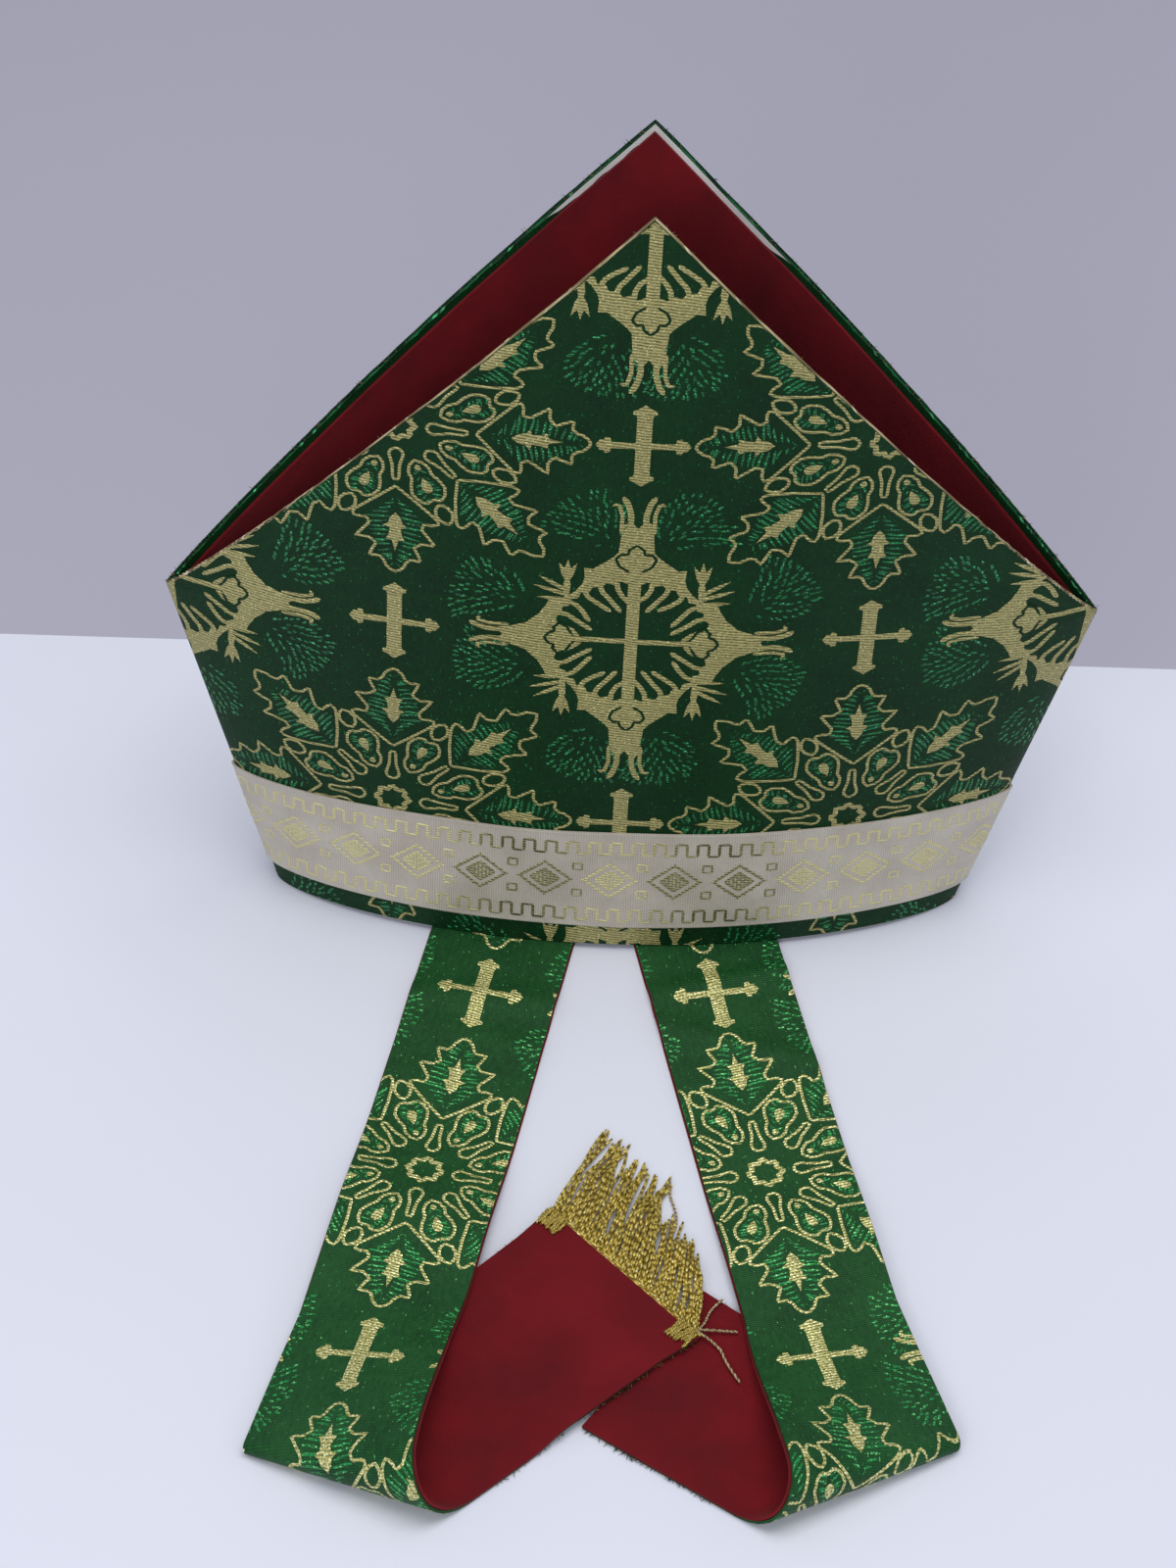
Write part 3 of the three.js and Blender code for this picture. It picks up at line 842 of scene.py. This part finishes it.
GREEN_CLOTH = satin("green_brocade", colour(2, 34, 10), colour(6, 56, 22), colour(20, 120, 56),
                    (0.69, 0.75), 0.55)
# Lit copies of the panels' brocade, gold and lurex for the lappets: brighter colours and more glint specks.
# This is painted light for cloth that lies flat under the lamps.
LIT_LAPPET_CLOTH = satin("green_brocade_lappet_lit", colour(14, 56, 26), colour(34, 88, 42),
                     colour(96, 180, 96), (0.7, 0.76), 0.45)
GOLD_THREAD = metal_thread("gold_thread", colour(92, 88, 42), colour(182, 174, 112),
                           colour(226, 220, 158), 0.3, 0.45)
LIT_LAPPET_GOLD = metal_thread("gold_thread_lappet_lit", colour(96, 104, 44), colour(200, 196, 116),
                           colour(255, 250, 190), 0.45, 0.36, (0.52, 0.6))
LUREX_THREAD = metal_thread("green_lurex", colour(2, 50, 24), colour(16, 122, 62), colour(90, 210, 140),
                            0.35, 0.34, (0.6, 0.68), 0.9)
LIT_LAPPET_LUREX = metal_thread("green_lurex_lappet_lit", colour(8, 84, 38), colour(26, 150, 72),
                            colour(150, 240, 150), 0.35, 0.32, (0.58, 0.66), 0.9)
CRIMSON = plain_weave("crimson_lining", colour(78, 1, 10), colour(116, 6, 18), 0.8, 0.05)
WHITE_CLOTH = plain_weave("white_interfacing", colour(186, 184, 180), colour(220, 218, 214), 0.8, 0.1)
RIBBON = ribbed_ribbon("cream_galloon", colour(172, 163, 148), colour(204, 197, 184))
# The galloon's metal thread, dark olive to pale gold. A large weight on the shade attribute lets shine_at
# paint where it catches the light.
SHINE_PAINTED_BRAID = metal_thread("galloon_thread", colour(52, 58, 20), colour(214, 206, 150),
                          colour(244, 236, 184), 0.3, 0.38, (0.7, 0.78), 2.4)
BULLION = metal_thread("bullion", colour(128, 102, 20), colour(240, 216, 108), colour(255, 246, 176),
                       0.45, 0.34)
PALE_EDGE = metal_thread("edge_thread", colour(120, 100, 66), colour(200, 182, 140),
                         colour(236, 222, 184), 0.2, 0.5)


# ---- Cap pieces
# Grids of the cap's pieces, as columns and rows.
PANEL_GRID = (120, 70)
LINING_GRID = (90, 50)
GALLOON_GRID = (140, 12)


def add_panel(far):
    side = side_of(far)
    outer, inner, flat = cap_grid(far, 0, 0, *PANEL_GRID, ((0, 0), PANEL_WALL))
    cloth = shell(f"panel_{side}_cloth", outer, inner, flat, GREEN_CLOTH, flip=far)
    in_frame(cloth, f"panel_{side}")


def add_raised(name, chart, patches, materials):
    """Patches laid on the cloth that the chart is of, joined in one piece."""
    flat, lifts, faces, kinds, shades = gathered(patches, chart.inside)
    flat = chart.trimmed(flat)
    points = chart.surface(flat, lifts)
    faces, kinds = without_slivers(points, faces, kinds)
    piece = add_mesh(name, points, faces[:, ::-1] if chart.flip else faces, materials, flat * MM,
                     shades, kinds, FIGURE_SHARP)
    return in_frame(piece)


# The middle medallion of a panel, and how far its repeat is turned.
PANEL_ORIGIN = (-0.6, 156.2)
PANEL_TURN = -0.4


def add_panel_figures(far):
    patches = brocade_figures(PANEL_ORIGIN, PANEL_TURN, (-2, -1, 0, 1), (-1, 0, 1))
    add_raised(f"panel_{side_of(far)}_figures", PanelChart(far), patches,
               [GOLD_THREAD, LUREX_THREAD, GREEN_CLOTH])


def add_lining(far):
    side = side_of(far)
    outside = (PANEL_WALL[0] + GAP, PANEL_WALL[1] + GAP)
    inside = (outside[0] + LINING_WALL[0], outside[1] + LINING_WALL[1])
    outer, inner, flat = cap_grid(far, LINING_INSET, LINING_INSET, *LINING_GRID, (outside, inside))
    lining = shell(f"lining_{side}_cloth", outer, inner, flat, CRIMSON, flip=far)
    in_frame(lining, f"lining_{side}")


# ---- Galloon
DIAMOND_PITCH = 24.5
DIAMOND_OFFSET = -4.0
GALLOON_THREAD = 1.15


def diamond_line(half_width, half_height):
    return ((half_width, 0), (0, half_height), (-half_width, 0), (0, -half_height))


def galloon_figure(shade):
    figure = []
    for half_width, half_height in ((9.6, 8.6), (5.4, 4.9)):
        figure.append(thread(diamond_line(half_width, half_height), GALLOON_THREAD, closed=True,
                             step=1.2, shade=shade))
    angle = np.radians(np.arange(0, 360, 45))
    ring = np.stack([0.85 * np.cos(angle), 0.85 * np.sin(angle)], axis=1)
    for i in (-1, 0, 1):
        for j in (-1, 0, 1):
            x, y = (i - j) * 1.45, (i + j) * 1.3
            figure.append(moved(thread(ring, 0.7, closed=True, step=0.7, shade=shade), x, y))
    for k in range(16):
        share = k / 16 * 4
        corner = diamond_line(9.6, 8.6)
        a, b = np.array(corner[int(share)]), np.array(corner[(int(share) + 1) % 4])
        spot = mix(a, b, share % 1)
        out = unit(spot / (9.6, 8.6))
        figure.append(thread((spot, spot + out * 1.1), 0.8, step=0.6, shade=shade))
    return figure


def square(size, shade):
    half = size / 2
    line = ((half, half), (-half, half), (-half, -half), (half, -half))
    return thread(line, 0.9, closed=True, step=0.9, shade=shade)


def shine_at(s):
    """How brightly the metal thread catches the light along the band, at an arc length from its middle."""
    turn = (s - DIAMOND_OFFSET) / 74
    return 1.0 if abs(turn) > 1 else 0.5 + 0.5 * math.cos(2 * math.pi * turn)


def crenellation(count, middle, depth):
    """A square wave along the band, in short runs that each take their own shine."""
    period = DIAMOND_PITCH / 3
    runs = []
    for k in range(-count, count):
        x = DIAMOND_OFFSET + k * period
        low, high = middle - depth / 2, middle + depth / 2
        line = ((x, low), (x, high), (x + period / 2, high), (x + period / 2, low), (x + period, low))
        runs.append(thread(line, GALLOON_THREAD, step=1.0, shade=shine_at(x)))
    return runs


def add_galloon(far):
    side = side_of(far)
    inset = ((-GAP - GALLOON_WALL[0], -GAP - GALLOON_WALL[1]), (-GAP, -GAP))
    outer, inner, flat = cap_grid(far, GALLOON_BOTTOM, 0, *GALLOON_GRID, inset, GALLOON_TOP)
    ribbon = shell(f"galloon_{side}_ribbon", outer, inner, flat, RIBBON, flip=far)
    in_frame(ribbon, f"galloon_{side}")
    chart = PanelChart(far, *inset[0], top=GALLOON_TOP)
    low, high = GALLOON_BOTTOM / MM, GALLOON_TOP / MM
    middle = (low + high) / 2
    patches = []
    for k in range(-7, 8):
        x = DIAMOND_OFFSET + k * DIAMOND_PITCH
        patches += placed(galloon_figure(shine_at(x)), x, middle)
        for rise in (-7, 7):
            patches.append(moved(square(3.4, shine_at(x)), x + DIAMOND_PITCH / 2, middle + rise))
    patches += crenellation(24, high - 8, 6)
    patches += crenellation(24, low + 6.2, 6)
    reach = 190
    for height in (low + 0.7, high - 0.7):
        patches.append(thread(((-reach, height), (reach, height)), 1.1, kind=LUREX, step=2.0))
    add_raised(f"galloon_{side}_braid", chart, patches, [SHINE_PAINTED_BRAID, RIBBON])


# ---- Cut edges
def cut_edge_line(far, hand, face, down):
    """Points along one sloping cut edge from the peak, a depth in from the outer skin."""
    across = hand * np.sin(np.radians(np.linspace(0, 90, 150)))
    return panel_surface(far, across, cut_height(across) - down, face, face)


def whiskers(line, outward, count, length, radius, kinds, seed):
    """Loose thread ends that stick out of an edge."""
    draw = np.random.default_rng(seed)
    strands = []
    for _ in range(count):
        spot = draw.integers(1, len(line) - 1)
        base = line[spot] + (line[spot + 1] - line[spot]) * draw.random()
        along = unit(line[spot + 1] - line[spot])
        lean = outward * draw.uniform(0.5, 1) + along * draw.uniform(-1, 1)
        lean = unit(lean + draw.uniform(-0.25, 0.25, 3))
        reach = draw.uniform(*length)
        bend = draw.uniform(-0.4, 0.4, 3)
        share = np.linspace(0, 1, 4)[:, None]
        path = base + lean * reach * share + bend * reach * share ** 2 * 0.6
        size = radius * np.array([1, 0.95, 0.8, 0.4])
        strands.append((*tube(path, size, 3), int(draw.choice(kinds))))
    return strands


# Cords as (depth in, drop, radius, twist, kind), then the loose ends: way out, count, lengths, radius,
# kinds and seed. The far edge is the rougher one.
NEAR_EDGE = (((0.7, 0, 0.55, 2800, 0), (1.6, 0.1, 0.5, 2300, 2)),
             (0.75, -0.1, 0.66), 90, (0.6, 1.9), 0.11, (0, 0, 2, 1), 31)
FAR_EDGE = (((0.7, 0, 0.55, 2500, 4), (1.6, 0.2, 0.45, 2100, 1)),
            (0.75, -0.2, 0.62), 260, (0.8, 2.6), 0.14, (0, 1, 2, 2, 4, 4, 4), 41)


def add_cut_edge(far, cords, out, count, length, radius, kinds, seed):
    """Twisted cords along a panel's cut edge, and the loose thread ends that stick out of it."""
    materials = [PALE_EDGE, LUREX_THREAD, GOLD_THREAD, WHITE_CLOTH, GREEN_CLOTH]
    strands = []
    for hand in (-1, 1):
        for face, down, size, twist, kind in cords:
            line = cut_edge_line(far, hand, face * MM, down * MM)
            strands.append(cord(line, size * MM, twist, kind))
        outward = np.array([hand * out[0], out[1], out[2]])
        reach = (length[0] * MM, length[1] * MM)
        strands += whiskers(line, outward, count, reach, radius * MM, kinds, seed + hand)
    joined_threads(f"{side_of(far)}_cut_edge", strands, materials)


def joined_threads(name, strands, materials):
    return in_frame(threads(name, strands, materials))


def add_backing():
    """White backing that shows beside the far peak, between the panel and its lining."""
    rows, columns = 4, 40
    share = np.linspace(0, 1, columns)
    parts, faces = [], []
    for hand, reach, widest in ((1, 0.3, 4.6), (-1, 0.22, 3.4)):
        across = hand * share * reach
        wide = widest * MM * (1 - smooth(0.72, 1, share)) * (0.85 + 0.15 * np.sin(share * 23))
        drops = [wide * k / (rows - 1) + 0.25 * MM for k in range(rows)]
        grid = [panel_surface(True, across, cut_height(across) - drop, PANEL_WALL[0] + 0.12 * MM,
                              PANEL_WALL[1]) for drop in drops]
        faces.append(grid_faces(rows, columns, rows * columns * len(parts), flip=hand < 0))
        parts.append(np.stack(grid).reshape(-1, 3))
    points = np.concatenate(parts)
    piece = add_mesh("far_backing", points, np.concatenate(faces), [WHITE_CLOTH], points[:, (0, 2)])
    in_frame(piece)


# ---- Lappets
def plan_of(row):
    fold, cone = math.radians(row["fold_angle"]), math.radians(row["cone_angle"])
    hand = row["hand"]
    along = np.array([-hand * math.cos(fold), -math.sin(fold)])
    outward = np.array([hand * math.sin(fold), -math.cos(fold)])
    radius = row["outer_radius"] * MM
    tip = np.array(row["outer_edge"]) * MM - along * radius / math.sin(cone) - outward * radius
    return dict(along=along, outward=outward, cone=cone, tip=tip, sector=math.pi * math.sin(cone))


def axes_of(row):
    heading, hand = math.radians(row["heading"]), row["hand"]
    ahead = np.array([hand * math.sin(heading), -math.cos(heading)])
    side = np.array([hand * math.cos(heading), math.sin(heading)])
    return ahead, side


def half_width(row, at):
    return np.interp(at * LAPPET_LENGTH / (row["width_length"] * MM), WIDTH_AT, WIDTH_HALF)


def upper_height(row, plan, along_fold, from_fold, at, across):
    loop = along_fold * math.sin(2 * plan["cone"])
    fade = [f * MM for f in row["fade"]]
    settled = row["top_rise"] * MM * (1 - smooth(*fade, from_fold))
    raised = mix(loop, settled, smooth(0, row["settle"] * MM, from_fold))
    ripple = sum(
        height * MM * np.exp(-(((at - spot * MM - slant * across) / (width * MM)) ** 2))
        for spot, height, width, slant in row["ripples"])
    return REST_HEIGHT + raised + ripple * smooth(22 * MM, 30 * MM, at)


def end_of(row):
    """A lappet's length and its half width at the fringe."""
    length = row["length"] * MM
    return length, float(half_width(row, length))


def near_edge():
    """A point on the right lappet's near edge, and the way across it."""
    length, half = end_of(RIGHT)
    ends = lappet_surface(RIGHT, np.array([length, length - 60 * MM]), np.array([-half, -half]))
    step = ends[1] - ends[0]
    run = math.hypot(step[0], step[1])
    return ends[0, :2], np.array([-step[1] / run, step[0] / run])


def lower_height(row, x, y):
    if not row["over"]:
        return np.full_like(x, REST_HEIGHT)
    point, normal = near_edge()
    past = (x - point[0]) * normal[0] + (y - point[1]) * normal[1]
    return REST_HEIGHT + row["over"] * MM * smooth(-22 * MM, -3 * MM, past)


def lappet_surface(row, at, across):
    """Points of the lappet's middle surface, in the cap's own plan before it is moved to the frame."""
    plan = plan_of(row)
    ahead, side = axes_of(row)
    along, outward, tip, cone = plan["along"], plan["outward"], plan["tip"], plan["cone"]
    flat = np.array(row["root"]) * MM + at[..., None] * ahead + across[..., None] * side
    a, m = (flat - tip) @ along, (flat - tip) @ outward
    shorten = mix(math.cos(2 * cone), 1, smooth(0, row["settle"] * MM, -m))
    top = tip + along * (a * shorten)[..., None] + outward * m[..., None]
    top = raised(top, upper_height(row, plan, a, -m, at, across))
    reach, turned_by = np.hypot(a, m), np.arctan2(m, a)
    turn = np.clip(turned_by / math.sin(cone), 0, math.pi)
    s, c = math.sin(cone), math.cos(cone)
    in_line, sideways = c * c - s * s * np.cos(turn), s * np.sin(turn)
    bend = tip + reach[..., None] * (along * in_line[..., None] + outward * sideways[..., None])
    bend = raised(bend, REST_HEIGHT + reach * s * c * (1 + np.cos(turn)))
    back = turned_by - plan["sector"]
    under = tip + along * (np.cos(back) * reach)[..., None] - outward * (np.sin(back) * reach)[..., None]
    under = raised(under, lower_height(row, under[..., 0], under[..., 1]))
    folded = np.where((turned_by < plan["sector"])[..., None], bend, under)
    return np.where((m <= 0)[..., None], top, folded)


def lappet_skin(row, at, across, offset):
    """The surface moved off along its normal towards the brocade side, in the frame."""
    step = 5e-5
    along = lappet_surface(row, at + step, across) - lappet_surface(row, at - step, across)
    sideways = lappet_surface(row, at, across + step) - lappet_surface(row, at, across - step)
    normal = unit(np.cross(along, sideways)) * row["hand"]
    offset = np.broadcast_to(offset, at.shape)[..., None]
    return lappet_surface(row, at, across) + normal * offset - (0, HEM_MIDDLE, 0)


def crossing_at(row, turned_by, share):
    """Where along the lappet a line of the fold crosses a share of the half width."""
    plan = plan_of(row)
    ahead, side = axes_of(row)
    normal = plan["outward"] * math.cos(turned_by) - plan["along"] * math.sin(turned_by)
    root = np.array(row["root"]) * MM
    at = np.zeros_like(share)
    for _ in range(5):
        across = share * half_width(row, at)
        at = -((root + across[:, None] * side - plan["tip"]) @ normal) / (ahead @ normal)
    return at


def lappet_grid(row, narrow, columns=26, flat_steps=120, fold_steps=26, end_steps=34):
    """Distances along and across for each grid point, with rows that turn to lie along the fold."""
    plan = plan_of(row)
    share = np.linspace(-1, 1, columns + 1)
    fold_start = crossing_at(row, 0, share)
    fold_end = crossing_at(row, plan["sector"], share)
    rows = [fold_start * i / flat_steps for i in range(flat_steps)]
    rows += [crossing_at(row, plan["sector"] * i / fold_steps, share) for i in range(fold_steps)]
    rows += [mix(fold_end, row["length"] * MM, i / end_steps) for i in range(end_steps + 1)]
    at = np.stack(rows)
    return at, share[None, :] * (half_width(row, at) - narrow)


def add_lappet(row):
    name, flip = row["name"], row["hand"] > 0
    face = GAP / 2
    pieces = []
    layers = (
        ("lappet", face + CLOTH, face, 0.45 * MM, LIT_LAPPET_CLOTH, "brocade", f"lappet_{name}"),
        ("lappet_lining", -face, -face - CLOTH, 0.0, CRIMSON, "lining", f"lappet_lining_{name}"),
    )
    for piece_name, top, bottom, narrow, material, slot, node in layers:
        at, across = lappet_grid(row, narrow)
        outer = lappet_skin(row, at, across, top)
        inner = lappet_skin(row, at, across, bottom)
        piece = shell(f"{piece_name}_{name}_cloth", outer, inner, np.stack([across, at], axis=-1),
                      material, flip=not flip)
        pieces.append(in_frame(piece, node))
    return pieces


# Where the repeat's small cross lies on each lappet, how far it is turned, and the repeat's height.
LAPPET_REPEAT = {"left": (1.5, 40.0, 0.3, REPEAT_HEIGHT), "right": (-2.4, 34.7, 1.0, 177.3)}


# The woven figures go on round this share of the fold, and this far round the cone's tip is in front of it.
FIGURES_TO = 0.8
BEFORE_TIP = 3
FIGURES_IN = 0.5


class LappetChart:
    """The same for a lappet's brocade side, where flat places are across it and along it."""

    def __init__(self, row):
        self.row = row
        self.flip = row["hand"] < 0

    def inside(self, flat):
        row, plan = self.row, plan_of(self.row)
        ahead, side = axes_of(row)
        across, at = flat[:, 0] * MM, flat[:, 1] * MM
        spot = np.array(row["root"]) * MM + at[:, None] * ahead + across[:, None] * side - plan["tip"]
        turned_by = np.arctan2(spot @ plan["outward"], spot @ plan["along"])
        before_end = (turned_by < plan["sector"] * FIGURES_TO) | (turned_by > BEFORE_TIP)
        return (np.abs(across) < half_width(row, at) - FIGURES_IN * MM) & (at > 1 * MM) & before_end

    def trimmed(self, flat):
        limit = half_width(self.row, flat[:, 1] * MM) / MM - FIGURES_IN
        return np.stack([np.clip(flat[:, 0], -limit, limit), np.maximum(flat[:, 1], FIGURES_IN)], axis=1)

    def surface(self, flat, lift):
        top = (GAP / 2 + CLOTH) + lift * MM
        return lappet_skin(self.row, flat[:, 1] * MM, flat[:, 0] * MM, top)


def add_lappet_figures(row):
    x, y, turn, height = LAPPET_REPEAT[row["name"]]
    patches = brocade_figures((x - REPEAT_WIDTH / 2, y), turn, (0, 1), (-1, 0, 1, 2), height)
    return add_raised(f"lappet_{row['name']}_figures", LappetChart(row), patches,
                      [LIT_LAPPET_GOLD, LIT_LAPPET_LUREX, LIT_LAPPET_CLOTH])


# ---- Fringes
def fringe_path(row, share, t, rise):
    """Points down one strand: share from the inner to the outer edge, t from the cloth to the tip."""
    length, half = end_of(row)
    half -= 1 * MM
    across = np.array([mix(-half, half, share)])
    start = lappet_surface(row, np.array([length + GAP + 0.2 * MM]), across)[0]
    section = 0 if share < 0.5 else 1
    near, far = np.array(row["reach"][section:section + 2], dtype=float)
    run = mix(near, far, share * 2 - section) * MM
    low = CLOTH_LIFT + FRINGE_THICKNESS / 2
    drop = mix(row["drop"][0], row["drop"][1], share)
    rest = low + row["fringe_over"] * MM * (1 - smooth(drop, drop + 0.28, t))
    plan = start[:2] + run * t[:, None]
    height = mix(start[2], rest, smooth(0, 0.3, t)) + rise
    return raised(plan, height) - (0, HEM_MIDDLE, 0)


CLUMPS = 15


def add_fringe(row):
    """Twisted bullion strands in loose clumps, with uneven tips."""
    count, steps, sides = row["strands"]
    draw = np.random.default_rng(60 + row["hand"])
    strands = []
    clumps = np.linspace(0.03, 0.97, CLUMPS) + draw.uniform(-0.03, 0.03, CLUMPS)
    leans = draw.uniform(-3.5, 3.5, CLUMPS)
    lengths = draw.uniform(0.88, 1.04, CLUMPS)
    inset = row["strand_inset"]
    for k in range(count):
        share = mix(inset, 1 - inset, (k + 0.5) / count)
        near = int(np.argmin(np.abs(clumps - share)))
        pull = (clumps[near] - share) * draw.uniform(0.1, 1.0)
        reach = lengths[near] * draw.uniform(0.86, 1.02)
        t = np.linspace(0, reach, steps)
        layer = (k % 4 - 1.5) * 0.42 * MM
        path = fringe_path(row, share, t, layer)
        other = fringe_path(row, float(np.clip(share + pull, 0, 1)), t, layer)
        path = mix(path, other, smooth(0.1, 0.9, t / reach)[:, None])
        wave = np.sin(t * draw.uniform(5, 12) + draw.uniform(0, 6)) * draw.uniform(0.3, 1.5)
        flick = (t / reach) ** 3 * (leans[near] + draw.uniform(-2.5, 2.5))
        path[:, 0] += (wave + flick) * MM * smooth(0, 0.3, t)
        path[:, 1] += (wave - flick) * 0.4 * MM * smooth(0, 0.3, t)
        path[:, 2] += np.abs(np.sin(t * draw.uniform(4, 8))) * draw.uniform(0, 0.9) * MM
        path[:, 2] = np.maximum(path[:, 2], 0.7 * MM)
        radius = 0.5 * MM * np.where(t > reach * 0.97, 0.75, 1)
        strands.append(cord(path, radius, 2900, sides=sides))
    piece = joined_threads(f"fringe_{row['name']}_strands", strands, [BULLION])
    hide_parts(f"fringe_{row['name']}")
    return piece


def add_heading(row):
    """The fringe's twisted heading along the cloth's end, turned over on the lining at both corners."""
    length, half = end_of(row)
    strands = []
    for past_end in (0.4, 1.5):
        across = np.linspace(-half + 0.5 * MM, half - 0.5 * MM, 70)
        path = lappet_skin(row, np.full(70, length + past_end * MM), across, -0.3 * MM)
        strands.append(cord(path, 0.6 * MM, 2600, sides=8))
    draw = np.random.default_rng(80)
    for hand in (-1, 1):
        for k in range(9):
            across = hand * (half - (0.8 + 1.05 * k) * MM)
            reach = draw.uniform(5.5, 8.5) * MM
            at = np.linspace(length + 0.8 * MM, length - reach, 14)
            wander = across + np.sin(np.linspace(0, 5, 14) + k) * 0.35 * MM
            above = -(GAP / 2 + CLOTH + 0.75 * MM + (k % 2) * 0.35 * MM)
            path = lappet_skin(row, at, wander, above)
            strands.append(cord(path, 0.58 * MM, 2600, sides=8))
    return joined_threads("fringe_left_heading", strands, [BULLION])


def add_strays():
    """Loose thread ends: three from the left fringe's inner corner, and one over its strands."""
    lines = (
        ((29, -253.5, 4.6), (33.5, -246, 4.2), (38.3, -238.2, 3.8)),
        ((29.5, -252.6, 4.6), (36, -252.4, 4.2), (43.4, -252.5, 3.8)),
        ((29.5, -253.4, 4.6), (38, -261, 4), (43.8, -274.4, 3.7)),
        ((22, -205, 1.8), (21.6, -194, 1.2), (19.8, -183, 1.0)),
    )
    strands = []
    for line in lines:
        spots = np.asarray(line, dtype=float)
        share = np.linspace(0, 1, 26)
        path = np.stack([np.interp(share, (0, 0.5, 1), spots[:, k]) for k in range(3)], axis=1) * MM
        path[:, 0] += np.sin(share * 7) * 0.6 * MM
        strands.append(cord(path, 0.45 * MM, 2600))
    return joined_threads("fringe_left_strays", strands, [PALE_EDGE])


def add_frayed_edge(row):
    """Loose brocade threads along the edges of the layer that is folded under."""
    plan = plan_of(row)
    strands = []
    for hand in (-1, 1):
        start = float(crossing_at(row, plan["sector"], np.array([float(hand)]))[0]) + 6 * MM
        at = np.linspace(start, row["length"] * MM - 2 * MM, 60)
        across = hand * half_width(row, at)
        line = lappet_skin(row, at, across, 0.35 * MM)
        outward = unit(lappet_skin(row, at, across + hand * MM, 0.35 * MM)[30] - line[30])
        strands += whiskers(line, outward, 70, (0.6 * MM, 2.0 * MM), 0.12 * MM, (0, 1, 2, 3, 3), 91 + hand)
    return joined_threads(f"lappet_{row['name']}_frayed_edge", strands,
                          [PALE_EDGE, LUREX_THREAD, GOLD_THREAD, GREEN_CLOTH])


def add_lappets():
    for row in (LEFT, RIGHT):
        cloth, lining = add_lappet(row)
        trimmings = [add_lappet_figures(row), add_frayed_edge(row), add_fringe(row)]
        if row is LEFT:
            trimmings.append(add_heading(row))


# ---- Floor and light
def plain(name, base, roughness=0.9):
    s = Shader(name)
    tone = s.noise(6, 3)
    low = tuple(c * 0.97 for c in base[:3]) + (1.0,)
    return s.finish(s.blend(tone, low, base), roughness, s.noise(300, 2), 0.05 * MM, 0.1)


def add_stage():
    edge = 96 * MM
    for name, low, high, z, base in (
        ("floor", (-3, -3), (3, edge), 0, colour(222, 225, 236)),
        ("backdrop", (-3, edge), (3, 3), -0.5 * MM, colour(176, 174, 188)),
    ):
        points = [(low[0], low[1], z), (high[0], low[1], z), (high[0], high[1], z), (low[0], high[1], z)]
        flat = [(p[0], p[1]) for p in points]
        add_mesh(name, points, [(0, 1, 2, 3)], [plain(f"{name}_paint", base)], flat)


def add_area_light(name, place, aim, size, power, tint):
    data = bpy.data.lights.new(name, "AREA")
    data.shape = "RECTANGLE"
    data.size, data.size_y = size
    data.energy = power
    data.color = tint
    lamp = bpy.data.objects.new(name, data)
    lamp.location = place
    lamp.rotation_euler = (Vector(aim) - Vector(place)).to_track_quat("-Z", "Y").to_euler()
    bpy.context.scene.collection.objects.link(lamp)


def add_light():
    world = bpy.data.worlds.new("studio")
    bpy.context.scene.world = world
    world.use_nodes = True
    world.node_tree.nodes["Background"].inputs["Color"].default_value = (0.86, 0.89, 1.0, 1)
    world.node_tree.nodes["Background"].inputs["Strength"].default_value = 0.55
    add_area_light("overhead", (0.1, -0.25, 1.7), (0, -0.12, 0), (1.3, 0.9), 14, (1, 0.99, 0.97))
    add_area_light("front", (-0.5, -1.7, 1.1), (0, -0.1, 0.1), (0.9, 0.7), 8, (1, 0.99, 0.98))
    bpy.context.scene.view_settings.view_transform = "Standard"


# ---- Assembly
add_camera()
for is_far in (False, True):
    add_panel(is_far)
    add_panel_figures(is_far)
    add_lining(is_far)
    add_galloon(is_far)
add_cut_edge(False, *NEAR_EDGE)
add_cut_edge(True, *FAR_EDGE)
add_backing()
add_lappets()
add_strays()
add_stage()
add_light()
